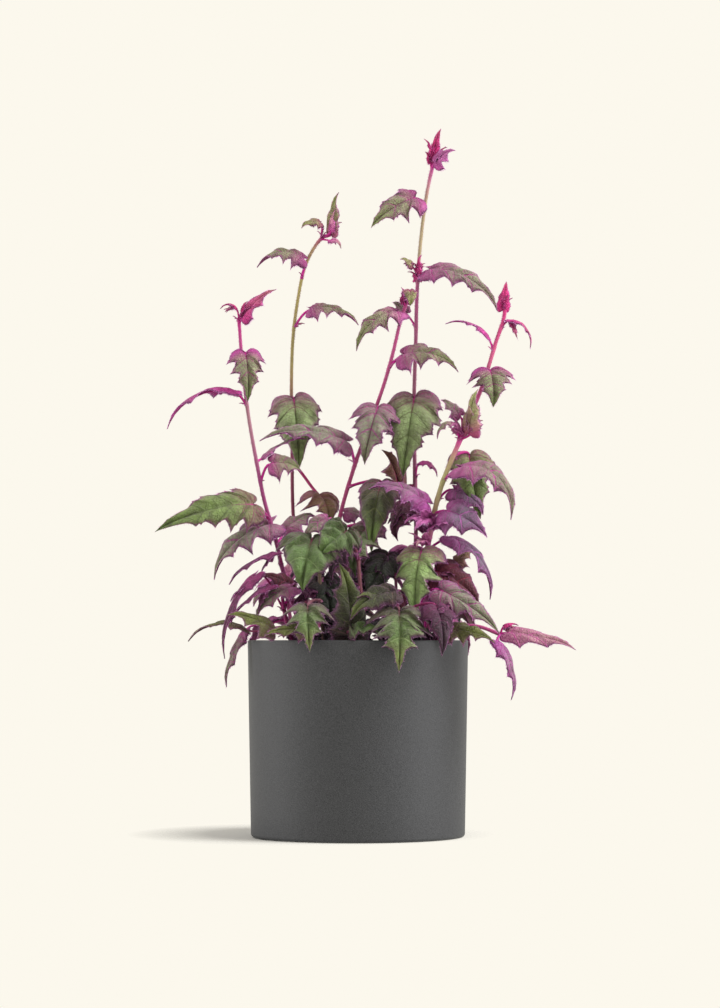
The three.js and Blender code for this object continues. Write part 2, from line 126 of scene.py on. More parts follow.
class Finish:
    """A material being made: what is the same all over goes on its shader's own sockets."""

    def __init__(self, name, **same_all_over):
        self.material = bpy.data.materials.new(name)
        self.material.use_nodes = True
        self.tree = self.material.node_tree
        self.shader = self.tree.nodes["Principled BSDF"]
        for socket, value in same_all_over.items():
            self.shader.inputs[socket.replace("_", " ")].default_value = value

    def node(self, kind, settings, sockets, output=0):
        node = self.tree.nodes.new(kind)
        for name, value in settings.items():
            setattr(node, name, value)
        for name, value in sockets.items():
            if isinstance(value, Value):
                self.tree.links.new(value.socket, node.inputs[name])
            else:
                node.inputs[name].default_value = value
        return Value(self.tree, node.outputs[output])

    def blend(self, factor, low, high, way="MIX"):
        settings = {"data_type": "RGBA", "blend_type": way}
        return self.node("ShaderNodeMix", settings, {0: factor, 6: low, 7: high}, output=2)

    def place(self):
        return self.node("ShaderNodeTexCoord", {}, {}, output="Object")

    def attribute(self, name, output="Color"):
        return self.node("ShaderNodeAttribute", {"attribute_name": name}, {}, output=output)

    def grain(self, scale, detail=2.0):
        sockets = {"Vector": self.place(), "Scale": scale, "Detail": detail}
        return self.node("ShaderNodeTexNoise", {}, sockets)

    def feed(self, socket, value):
        self.tree.links.new(value.socket, self.shader.inputs[socket])

    def relief(self, height, metres):
        sockets = {"Height": height, "Distance": metres, "Strength": 1.0}
        self.feed("Normal", self.node("ShaderNodeBump", {}, sockets))


def pigment(red, green, blue):
    """A screen colour of 0 to 255 as the light it stands for."""
    shares = (red / 255.0, green / 255.0, blue / 255.0)
    return (*((c / 12.92 if c < 0.04045 else ((c + 0.055) / 1.055) ** 2.4) for c in shares), 1.0)


def finished(name, bm, materials):
    mesh = bpy.data.meshes.new(name)
    bm.to_mesh(mesh)
    bm.free()
    for material in materials:
        mesh.materials.append(material)
    mesh.shade_smooth()
    piece = bpy.data.objects.new(name, mesh)
    bpy.context.scene.collection.objects.link(piece)
    return piece


# The floor is full where the pot's shadow falls and thins out to nothing further off, where the
# backdrop shows.
FLOOR_MIDDLE = Vector((-0.035, 0.035, -0.0003))
FLOOR_RADIUS = 0.135
FLOOR_FULL = 0.075
FLOOR_WHITENESS = 0.46
FLOOR_TINT = (1.0, 0.985, 0.955)
floor_finish = Finish("pale_floor", Roughness=0.9, Specular_IOR_Level=0.0)
floor_finish.shader.inputs["Base Color"].default_value = (
    *(FLOOR_WHITENESS * share for share in FLOOR_TINT), 1.0)
away = floor_finish.node("ShaderNodeVectorMath", {"operation": "DISTANCE"},
    {0: floor_finish.place(), 1: FLOOR_MIDDLE}, output="Value")
thinning = ((away - FLOOR_FULL) / (FLOOR_RADIUS - FLOOR_FULL)).within()
clear = floor_finish.node("ShaderNodeBsdfTransparent", {}, {})
shaded = Value(floor_finish.tree, floor_finish.shader.outputs["BSDF"])
laid = floor_finish.node("ShaderNodeMixShader", {}, {0: thinning, 1: shaded, 2: clear})
floor_finish.tree.links.new(
    laid.socket, floor_finish.tree.nodes["Material Output"].inputs["Surface"])
bm = bmesh.new()
bmesh.ops.create_circle(bm, cap_ends=True, segments=96, radius=FLOOR_RADIUS)
bmesh.ops.translate(bm, verts=bm.verts, vec=FLOOR_MIDDLE)
floor = finished("floor", bm, [floor_finish.material])

# The pot
# A straight-sided planter moulded in grey plastic with a fine sandy skin, a little narrower at
# the foot, with a thin flat rim. It is one piece and stands on its own flat base.
MM = 0.001
RIM_RADIUS = 80.0
BASE_RADIUS = 77.5
POT_HEIGHT = 142.0
POT_WALL = 4.0
POT_FLOOR = 6.0
FOOT_ROUND = 2.5
RIM_ROUND = 1.2
RIM_BOTTOM = POT_HEIGHT - RIM_ROUND
FOOT_STEPS = 5
WALL_STEPS = 8
RIM_STEPS = 4
POT_SIDES = 128

pot_finish = Finish("sandy_grey_plastic", Specular_IOR_Level=0.32)
sand = pot_finish.grain(1500.0, 3.0)
patches = pot_finish.grain(60.0)
speckled = pot_finish.blend(
    ((sand - 0.3) * 2.4).within(), pigment(34, 35, 38), pigment(66, 67, 70))
pot_finish.feed("Base Color", pot_finish.blend(patches * 0.2, speckled, pigment(60, 60, 62)))
pot_finish.feed("Roughness", 0.5 + sand * 0.16)
pot_finish.relief(sand, 0.00012)


def between(low, high, part):
    return low + (high - low) * part


def quarter(middle, height, radius, first, steps):
    """The (radius, height) points of a quarter turn of the outline, from its first angle on."""
    turns = [math.radians(first + 90.0 * step / steps) for step in range(steps + 1)]
    return [(middle + radius * math.cos(turn), height + radius * math.sin(turn)) for turn in turns]


outline = [(0.0, 0.0)]
outline += quarter(BASE_RADIUS - FOOT_ROUND, FOOT_ROUND, FOOT_ROUND, -90.0, FOOT_STEPS)
for step in range(1, WALL_STEPS):
    rise = step / WALL_STEPS
    outline.append((between(BASE_RADIUS, RIM_RADIUS, rise), between(FOOT_ROUND, RIM_BOTTOM, rise)))
outline += quarter(RIM_RADIUS - RIM_ROUND, RIM_BOTTOM, RIM_ROUND, 0.0, RIM_STEPS)
outline += quarter(RIM_RADIUS - POT_WALL + RIM_ROUND, RIM_BOTTOM, RIM_ROUND, 90.0, RIM_STEPS)
outline += [(BASE_RADIUS - POT_WALL, POT_FLOOR), (0.0, POT_FLOOR)]

bm = bmesh.new()
points = [bm.verts.new((radius * MM, 0.0, height * MM)) for radius, height in outline]
edges = [bm.edges.new(pair) for pair in zip(points, points[1:])]
bmesh.ops.spin(bm, geom=points + edges, axis=(0.0, 0.0, 1.0), cent=(0.0, 0.0, 0.0),
    steps=POT_SIDES, angle=2.0 * math.pi, use_merge=True)
bmesh.ops.remove_doubles(bm, verts=bm.verts, dist=1e-6)
bmesh.ops.recalc_face_normals(bm, faces=bm.faces)
pot = finished("planter", bm, [pot_finish.material])
pot.data.set_sharp_from_angle(angle=math.radians(50.0))
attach(pot, "root")
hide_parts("pot")

# The potting mix
# Dark loose mix of bark chips, peat and a few white grains of perlite, filled to a little under
# the rim. The plug below keeps its plain holes; the crust and the chips lie on it.
SOIL_TOP = 130.0
MIX_SEED = 11
ANY_TURN = (0.0, 6.28)
CRUST_RADIUS = 74.6
CRUST_CELLS = 90
CRUST_RISE = 1.6
CRUST_BUMPS = 1.1
CRUST_THICKNESS = 0.6
CHIP_COUNT = 900
CHIP_RADII = (1.0, 3.4)
CHIP_WIDTHS = (0.4, 0.8)
CHIP_DEPTHS = (0.25, 0.5)
PERLITE_COUNT = 70
PERLITE_RADII = (1.0, 1.9)
PERLITE_SHAPE = (1.0, 1.0, 0.8)
GRAIN_RISE = 1.8
GRAIN_HEAP = (0.0, 1.6)
GRAIN_TILT = 0.5
GRAIN_CRUMPLE = 0.28
EDGE_ROOM = 3.0
chance = random.Random(MIX_SEED)
# Without a seed, noise_vector takes its place in the noise from the clock.
noise.seed_set(MIX_SEED)


def crumbly(name, shine, grain, shades, rough, relief):
    """A finish of grains between two shades, rougher where they are paler."""
    finish = Finish(name, Specular_IOR_Level=shine)
    crumbs = finish.grain(*grain)
    finish.feed("Base Color", finish.blend(crumbs, *(pigment(*shade) for shade in shades)))
    finish.feed("Roughness", between(*rough, crumbs))
    if relief:
        finish.relief(crumbs, relief)
    return finish.material


mix = crumbly("potting_mix", 0.2, (420.0, 4.0), ((28, 20, 16), (74, 54, 42)), (0.8, 1.0), 0.0008)
chips = crumbly("bark_chips", 0.25, (260.0, 3.0), ((40, 26, 20), (112, 80, 58)), (0.7, 0.9), 0.0004)
perlite = crumbly(
    "perlite", 0.2, (900.0, 2.0), ((188, 184, 174), (226, 223, 214)), (0.85, 0.95), 0.0)

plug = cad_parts["soil"]
plug.data.materials.clear()
plug.data.materials.append(mix)

bm = bmesh.new()
crust = bmesh.ops.create_grid(
    bm, x_segments=CRUST_CELLS, y_segments=CRUST_CELLS, size=CRUST_RADIUS * MM)
for v in crust["verts"]:
    # A square sheet drawn in to a round one.
    x, y = v.co.x / (CRUST_RADIUS * MM), v.co.y / (CRUST_RADIUS * MM)
    v.co.x *= math.sqrt(1.0 - y * y / 2.0)
    v.co.y *= math.sqrt(1.0 - x * x / 2.0)
    bump = noise.noise(v.co * 90.0) + 0.6 * noise.noise(v.co * 260.0)
    v.co.z = (SOIL_TOP + CRUST_RISE + CRUST_BUMPS * bump) * MM
bmesh.ops.solidify(bm, geom=bm.faces, thickness=CRUST_THICKNESS * MM)
bmesh.ops.recalc_face_normals(bm, faces=bm.faces)
for number in range(CHIP_COUNT + PERLITE_COUNT):
    white = number >= CHIP_COUNT
    distance = abs(CRUST_RADIUS * math.sqrt(chance.random()) - EDGE_ROOM)
    bearing = chance.uniform(0.0, 2.0 * math.pi)
    size = chance.uniform(*(PERLITE_RADII if white else CHIP_RADII))
    shape = PERLITE_SHAPE if white else (
        1.0, chance.uniform(*CHIP_WIDTHS), chance.uniform(*CHIP_DEPTHS))
    spot = Vector((distance * math.cos(bearing), distance * math.sin(bearing),
        SOIL_TOP + GRAIN_RISE + chance.uniform(*GRAIN_HEAP))) * MM
    turned = Matrix.Rotation(chance.uniform(*ANY_TURN), 4, "Z")
    turned @= Matrix.Rotation(chance.uniform(-GRAIN_TILT, GRAIN_TILT), 4, "X")
    grain = bmesh.ops.create_icosphere(bm, subdivisions=1, radius=size * MM,
        matrix=Matrix.Translation(spot) @ turned @ Matrix.Diagonal((*shape, 1.0)))
    for v in grain["verts"]:
        v.co += Vector(noise.noise_vector(v.co * 700.0)) * (GRAIN_CRUMPLE * size * MM)
    for face in {face for v in grain["verts"] for face in v.link_faces}:
        face.material_index = 2 if white else 1
crust = finished("soil_crust", bm, [mix, chips, perlite])
crust.data.set_sharp_from_angle(angle=math.radians(30.0))
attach(crust, "root")

# The shoots
# Five tall stems and nine low shoots, rooted in the mix. Each is one grown thing: a soft ribbed
# stem, petioles that run on as midribs, toothed blades puckered between their side veins, and a
# pile of violet hairs all over, thickest along the margins and the young tips.

# A row of leaves has the height at which the petiole leaves the stem, the petiole's reach, the
# blade from petiole to tip, its width, roll in degrees, bow, teeth a side and look. A row of tufts
# has a height, a way out, and the length, width, count and look of its leaves.
# By default a shoot's basal tuft takes the shade look, whose near-black colour is painted shade.
Shoot = namedtuple("Shoot", "root thickness stem bark leaves basal tufts", defaults=("shade", ()))
SHOOTS = {}
SHOOTS["stem_left"] = Shoot(
    root=(-36, -14), thickness=(3.4, 1.8), basal="plum_in_painted_shade",
    stem=[(-46, -20, 165), (-54, -25, 192), (-59, -26, 214), (-67, -26, 241),
        (-73, -25, 270), (-79, -24, 304), (-83, -24, 336), (-86, -24, 374)],
    bark=[(130, (118, 46, 92)), (258, (138, 52, 106)), (302, (150, 108, 118)),
        (345, (160, 72, 122)), (374, (174, 40, 120))],
    leaves=[
        (371, (3, -2, 4), (24, -6, 19), 17, 60, 0.2, 3, "blush"),
        (371, (-2, -1, 10), (-12, 3, 1), 6, 0, 0.5, 2, "bud"),
        (371, (2, -2, 7), (4, -2, 8), 6, 60, 0.2, 2, "bud"),
        (347, (3, -7, 1), (4, -5, -36), 28, 30, 0.35, 4, "crest"),
        (311, (-10, 0, 10), (-50, 0, -25), 22, 0, 0.36, 3, "rose"),
        (270, (5, 5, 4), (29, 12, 16), 11, 0, 0.15, 3, "mauve"),
        (256, (8, 1, 13), (22, 8, -5), 26, 50, 0.3, 3, "dusk"),
        (229, (-12, -6, 10), (-69, -18, -21), 36, -62, 0.3, 5, "leafgreen"),
        (212, (-4, 2, 13), (-43, 4, -40), 34, -45, 0.36, 4, "heather"),
        (196, (-3, -8, 8), (-36, -5, -20), 12, -10, 0.15, 3, "plum"),
        (210, (5, 16, 10), (24, 16, 13), 24, 20, 0.3, 3, "mauve"),
    ],
)
SHOOTS["stem_second"] = Shoot(
    root=(-28, 16), thickness=(3.0, 1.6),
    stem=[(-40, 18, 180), (-47, 20, 226), (-48.5, 20, 289), (-49, 20, 318),
        (-48, 20, 362), (-45, 20, 388), (-39, 20, 417), (-31, 20, 433), (-24, 20, 441)],
    bark=[(130, (110, 34, 66)), (300, (128, 62, 84)), (345, (138, 128, 78)),
        (415, (156, 146, 88)), (430, (158, 134, 96)), (441, (184, 44, 128))],
    leaves=[
        (438, (7, -2, 3), (5, -2, 31), 14, 70, 0.1, 3, "sprig"),
        (438, (-1, -2, 11), (-14, -4, -4), 14, -40, 0.4, 3, "sprig"),
        (437, (8, -4, -1), (8, -4, -6), 9, 30, 0.4, 2, "young"),
        (438, (7, -6, 5), (2, -2, 15), 8, 90, 0.1, 2, "young"),
        (408, (1, -4, 14), (-35, 4, -3), 26, -30, 0.4, 4, "dusk"),
        (372, (13, -3, 13), (36, -2, -9), 24, 30, 0.25, 4, "dusk"),
        (315, (2, -12, 3), (5, -7, -52), 40, 32, 0.3, 4, "moss"),
        (272, (20, -10, -24), (8, -12, -24), 38, 0, 0.3, 4, "bronze"),
        (188, (3, 9, 5), (12, 22, -6), 34, 0, 0.3, 3, "shade"),
    ],
)
SHOOTS["stem_middle"] = Shoot(
    root=(-20, -6), thickness=(3.4, 1.8),
    stem=[(-19, -6, 180), (-14.5, -5, 225), (-3.6, -5, 265), (1.5, -5, 280),
        (18, -5, 325), (25, -5, 349), (31, -5, 374), (36, -5, 389)],
    bark=[(130, (136, 44, 94)), (280, (156, 62, 106)), (389, (176, 76, 128))],
    leaves=[
        (376, (-3, -3, 4), (-30, -8, -29), 26, -35, 0.45, 4, "dusk"),
        (388, (2, -5, 8), (1, -4, -12), 14, 0, 0.3, 3, "sprig"),
        (385, (-1, -2, 2), (-1, 0, 10), 7, 90, 0.1, 2, "bud"),
        (340, (11, -3, 9), (41, -4, -10), 32, 45, 0.35, 4, "dusk"),
        (309, (2, -9, 1), (-9, -9, -42), 37, -35, 0.3, 4, "heather"),
        (270, (-7, -3, 16), (-63, -6, 4), 30, -42, 0.24, 4, "heather"),
        (253, (24, -11, 2), (-10, -16, -50), 34, -25, 0.3, 4, "folded"),
        (222, (22, -15, 2), (-12, -14, -37), 36, -10, 0.3, 4, "sage"),
        (230, (4, 6, 4), (22, 10, -8), 24, 30, 0.3, 3, "mauve"),
        (164, (-1, 10, 5), (2, 27, -14), 28, 0, 0.3, 3, "shade"),
    ],
    tufts=[(386, (2, -4, 6), 11, 9, 4, "young")],
)
SHOOTS["stem_tallest"] = Shoot(
    root=(35, 8), thickness=(3.4, 1.8),
    stem=[(40, 6, 175), (42.3, 5, 222), (41.5, 5, 266), (41, 5, 317), (42.3, 5, 361),
        (43, 5, 390), (44.5, 5, 417.5), (48, 5, 452), (52, 5, 477), (55, 5, 490)],
    bark=[(130, (134, 52, 104)), (330, (138, 84, 104)), (400, (166, 80, 128)),
        (420, (158, 144, 112)), (462, (160, 146, 112)), (490, (178, 62, 138))],
    leaves=[
        (488, (0, -1, 4), (5, -2, 25), 11, 90, 0.1, 3, "bud"),
        (488, (2, -5, 3), (14, -6, 9), 20, 60, 0.2, 3, "orchid"),
        (486, (-1, -1, 6), (-3, 0, 8), 6, -60, 0.2, 2, "bud"),
        (458, (-7, -4, 7), (-32, -6, -23), 32, -60, 0.3, 4, "dusk"),
        (407, (9, -5, 5), (51, -6, -29), 28, 40, 0.36, 4, "mauve"),
        (407, (0, -5, 3), (2, -2, 13), 12, 70, 0.1, 3, "bud"),
        (408, (-4, -5, 7), (-9, -2, 5), 10, -50, 0.3, 3, "sprig"),
        (370, (-7, 3, 11), (-10, 2, 9), 14, -60, 0.2, 3, "mauve"),
        (317, (0, -11, 1), (-5, -11, -59), 46, -15, 0.25, 5, "moss"),
        (255, (-12, 5, -3), (-11, 6, 30), 34, 60, 0.2, 3, "bronze"),
        (259, (4, -5, 12), (13, -4, -10), 8, 30, 0.5, 3, "rose"),
        (233, (-6, -5, 9), (-10, -5, -28), 30, -20, 0.3, 3, "cocoa"),
        (204, (-4, 9, 5), (-12, 26, -16), 34, 0, 0.3, 3, "dusk"),
    ],
    tufts=[
        (404, (0, -2, 6), 9, 8, 5, "bud"),
        (230, (-3, -6, 3), 17, 13, 4, "plum"),
        (224, (6, -4, -1), 15, 12, 3, "slate"),
    ],
)
SHOOTS["stem_right"] = Shoot(
    root=(35, -31), thickness=(4.6, 1.8),
    stem=[(43, -34, 170), (49.4, -35, 206), (58.7, -35, 249), (73, -33, 285),
        (82, -28, 306.5), (90, -24, 326), (100, -20, 358), (105.6, -18, 375),
        (107, -17, 388)],
    bark=[(130, (160, 40, 120)), (212, (172, 76, 136)), (232, (162, 138, 110)),
        (258, (154, 154, 102)), (272, (164, 140, 110)), (284, (188, 62, 136)),
        (304, (186, 56, 130)), (330, (172, 88, 118)), (388, (188, 36, 112))],
    leaves=[
        (379, (-1, 0, 2), (1, 0, 21), 11, 90, 0.1, 3, "bud"),
        (351, (-4, 1, 10), (-30, 6, 12), 12, 0, 0.3, 3, "rose"),
        (367, (7, 1, 6), (16, -2, -20), 10, 10, 0.45, 3, "blush"),
        (332, (3, -5, 4), (4, -5, -27), 34, 30, 0.35, 4, "crest"),
        (285, (7, -5, 5), (6, -2, 32), 20, 70, 0.15, 3, "spire"),
        (288, (-1, -2, 15), (-14, 4, 12), 14, -50, 0.2, 3, "mauve"),
        (285, (-5, -5, 12), (-12, -4, -11), 10, -20, 0.5, 3, "dusk"),
        (256, (14, -5, 9), (38, -4, -36), 31, 32, 0.6, 3, "mauve"),
        (219, (-3, -3, 21), (-42, 8, 12), 26, -35, 0.3, 4, "lilac"),
        (274, (12, 16, 1), (5, -6, -47), 38, 40, 0.3, 4, "leafgreen"),
        (232, (9, -8, 2), (30, -9, -17), 34, 55, 0.25, 3, "slate"),
        (242, (12, 7, 8), (22, 0, -18), 26, 45, 0.3, 3, "slate"),
        (206, (18, 5, 8), (29, -6, -43), 24, 20, 0.38, 3, "slate"),
        (205, (-4, -9, 0), (-7, -11, -50), 42, -15, 0.2, 4, "light"),
        (165, (17, -24, 12), (44, -8, -28), 28, 55, 0.15, 4, "heather"),
    ],
    tufts=[
        (288, (-4, -5, 6), 12, 8, 4, "young"),
        (228, (-6, -4, 1), 19, 13, 4, "orchid"),
        (221, (4, -5, 3), 17, 12, 4, "orchid"),
        (211, (-3, -6, 2), 16, 11, 4, "young"),
    ],
)
SHOOTS["shoot_front_left"] = Shoot(
    root=(-44, -26), thickness=(3, 2),
    stem=[(-50, -32, 150), (-54, -36, 172)],
    bark=[(130, (120, 40, 84)), (172, (140, 44, 100))],
    basal="plum_in_painted_shade",
    leaves=[
        (165, (6, -1, 13), (-24, -8, 11), 24, -50, 0.3, 3, "maroon"),
        (163, (-21, -12, 24), (-26, -12, -57), 16, -10, 0.2, 3, "plum"),
        (162, (-9, -20, 18), (-30, -6, -24), 11, -10, 0.15, 3, "plum"),
        (151, (-10, -32, -2), (-32, -6, 12), 22, -45, 0.2, 3, "olive"),
        (151, (-31, 2, -1), (-42, 0, -7), 14, -10, 0.36, 3, "olive"),
        (146, (-33, 13, 2), (-15, -4, -39), 13, -20, 0.1, 3, "mauve"),
        (166, (6, -14, 13), (-27, -6, -22), 22, -30, 0.3, 3, "mauve"),
    ],
)
SHOOTS["shoot_front"] = Shoot(
    root=(-24, -40), thickness=(3.2, 2),
    stem=[(-26, -44, 165), (-28, -44, 200)],
    bark=[(130, (88, 60, 58)), (200, (96, 84, 62))],
    leaves=[
        (170, (-9, -30, -5), (0, -14, -31), 36, 0, 0.35, 4, "star"),
        (156, (-10, -33, -7), (-31, 0, -3), 18, -50, 0.2, 3, "olive"),
        (192, (-5, -14, 21), (-9, -12, -36), 50, -30, 0.3, 4, "crinkled"),
        (199, (6, 10, 30), (-18, -4, -16), 22, -40, 0.3, 3, "mauve"),
        (184, (3, 8, 3), (3, -4, -36), 36, 10, 0.3, 3, "shade"),
        (160, (-3, 8, 4), (-16, -5, -20), 28, -20, 0.3, 3, "shade"),
    ],
    tufts=[(174, (-6, 3, 1), 22, 15, 5, "plum_in_painted_shade"), (152, (3, 5, 3), 20, 15, 4, "shade")],
)
SHOOTS["shoot_centre"] = Shoot(
    root=(4, -40), thickness=(3.4, 2),
    stem=[(3, -46, 160), (0, -46, 202)],
    bark=[(130, (96, 50, 62)), (202, (112, 66, 72))],
    leaves=[
        (199, (-8, -14, 20), (-19, -8, -17), 38, -50, 0.25, 4, "crinkled"),
        (134, (-8, -22, 10), (-6, 4, 54), 36, -30, 0.1, 4, "shaded_olive"),
        (163, (22, -26, 13), (-31, -6, -19), 28, -40, 0.3, 3, "shaded_olive"),
        (140, (-8, -30, 9), (19, -4, -2), 24, 20, 0.2, 3, "crinkled"),
        (178, (-8, 6, 32), (-14, -4, -25), 28, -30, 0.3, 3, "plum_in_painted_shade"),
        (188, (1, 28, 5), (2, 0, -36), 36, 10, 0.2, 3, "shade"),
        (170, (-4, 9, 4), (-12, -4, -30), 34, -10, 0.3, 3, "shade"),
    ],
    tufts=[(148, (6, -3, 2), 20, 15, 4, "shade")],
)
SHOOTS["shoot_front_right"] = Shoot(
    root=(20, -52), thickness=(3, 2),
    stem=[(26, -54, 150), (29, -52, 178)],
    bark=[(130, (110, 40, 74)), (178, (132, 52, 96))],
    basal="plum_in_painted_shade",
    leaves=[
        (163, (1, -22, -1), (1, -18, -42), 46, 0, 0.3, 5, "star"),
        (165, (-6, 24, 38), (-15, -8, -34), 36, -45, 0.3, 4, "shade"),
        (160, (28, -20, 5), (4, -12, -34), 28, 0, 0.3, 3, "plum_in_painted_shade"),
        (172, (-2, 16, 3), (0, -1, -32), 24, 0, 0.1, 3, "maroon"),
    ],
)
SHOOTS["shoot_right"] = Shoot(
    root=(56, -8), thickness=(3, 2),
    stem=[(60, -14, 160), (62, -18, 192)],
    bark=[(130, (126, 40, 84)), (192, (150, 50, 104))],
    leaves=[
        (185, (-6, -22, 6), (33, 0, -23), 38, 60, 0.3, 4, "maroon"),
        (189, (9, -2, 8), (14, 4, 10), 16, 40, 0.3, 3, "bronze"),
        (152, (6, -43, -3), (33, -4, -8), 26, 45, 0.2, 4, "olive"),
        (172, (-7, 5, 4), (-16, 12, -22), 32, 0, 0.3, 3, "dusk"),
        (164, (8, 6, 4), (16, 22, -20), 30, 0, 0.3, 3, "moss"),
        (174, (-3, -9, 4), (3, 0, -30), 28, 10, 0.2, 3, "plum_in_painted_shade"),
    ],
)
SHOOTS["shoot_sprawling"] = Shoot(
    root=(52, -32), thickness=(3.2, 1.8),
    stem=[(66, -38, 150), (84, -42, 152), (104, -44, 145)],
    bark=[(130, (128, 44, 92)), (152, (168, 64, 120))],
    basal="plum_in_painted_shade",
    leaves=[
        (146, (5, -1, 1), (49, -4, -10), 20, 45, 0.1, 3, "faded"),
        (146, (-2, -7, -6), (12, -4, -40), 18, 10, 0.2, 3, "lilac"),
        (146, (3, 0, 6), (10, 2, 1), 8, 20, 0.2, 2, "bud"),
    ],
)
SHOOTS["shoot_back_left"] = Shoot(
    root=(-42, 36), thickness=(3.2, 2),
    stem=[(-50, 46, 158), (-54, 52, 184)],
    bark=[(130, (112, 42, 78)), (184, (150, 58, 108))],
    leaves=[
        (184, (1, 1, 3), (3, 4, 16), 12, 40, 0.15, 3, "young"),
        (180, (-4, 6, 6), (-16, 32, -20), 36, 0, 0.3, 3, "dusk"),
        (174, (-5, -3, 6), (-20, -14, -12), 28, 0, 0.3, 3, "mauve"),
        (166, (7, 6, 5), (9, 24, -18), 30, 0, 0.3, 3, "moss"),
        (152, (-9, 7, 5), (-26, 22, -26), 36, 0, 0.3, 3, "dusk"),
        (146, (3, 12, 10), (8, 32, -20), 30, 0, 0.3, 3, "leafgreen"),
    ],
)
SHOOTS["shoot_back"] = Shoot(
    root=(2, 44), thickness=(3.4, 2),
    stem=[(2, 52, 162), (-2, 56, 206)],
    bark=[(130, (108, 44, 74)), (206, (146, 66, 104))],
    leaves=[
        (206, (0, 1, 3), (-2, 4, 18), 12, 40, 0.15, 3, "young"),
        (200, (-1, 6, 5), (-6, 32, -26), 38, 0, 0.3, 3, "moss"),
        (192, (8, 0, 5), (28, 4, -18), 32, 0, 0.3, 3, "dusk"),
        (182, (-8, 2, 5), (-28, 8, -16), 32, 0, 0.3, 3, "mauve"),
        (172, (6, 8, 4), (16, 34, -24), 40, 0, 0.3, 3, "dusk"),
        (158, (-4, 9, 6), (-6, 36, -26), 36, 0, 0.3, 3, "leafgreen"),
        (150, (7, -4, 4), (24, -12, -8), 30, 0, 0.3, 3, "shade"),
    ],
)
SHOOTS["shoot_back_right"] = Shoot(
    root=(46, 36), thickness=(3.2, 2),
    stem=[(54, 42, 158), (60, 46, 188)],
    bark=[(130, (112, 42, 78)), (188, (150, 58, 108))],
    leaves=[
        (188, (1, 1, 3), (4, 3, 16), 12, 40, 0.15, 3, "young"),
        (182, (6, 3, 5), (22, 20, -22), 36, 0, 0.3, 3, "mauve"),
        (174, (-2, 8, 4), (-6, 34, -22), 36, 0, 0.3, 3, "moss"),
        (166, (5, -6, 5), (14, -18, -16), 28, 0, 0.3, 3, "shade"),
        (152, (9, 8, 6), (24, 24, -26), 36, 0, 0.3, 3, "dusk"),
        (146, (0, 12, 10), (0, 32, -20), 30, 0, 0.3, 3, "dusk"),
    ],
)

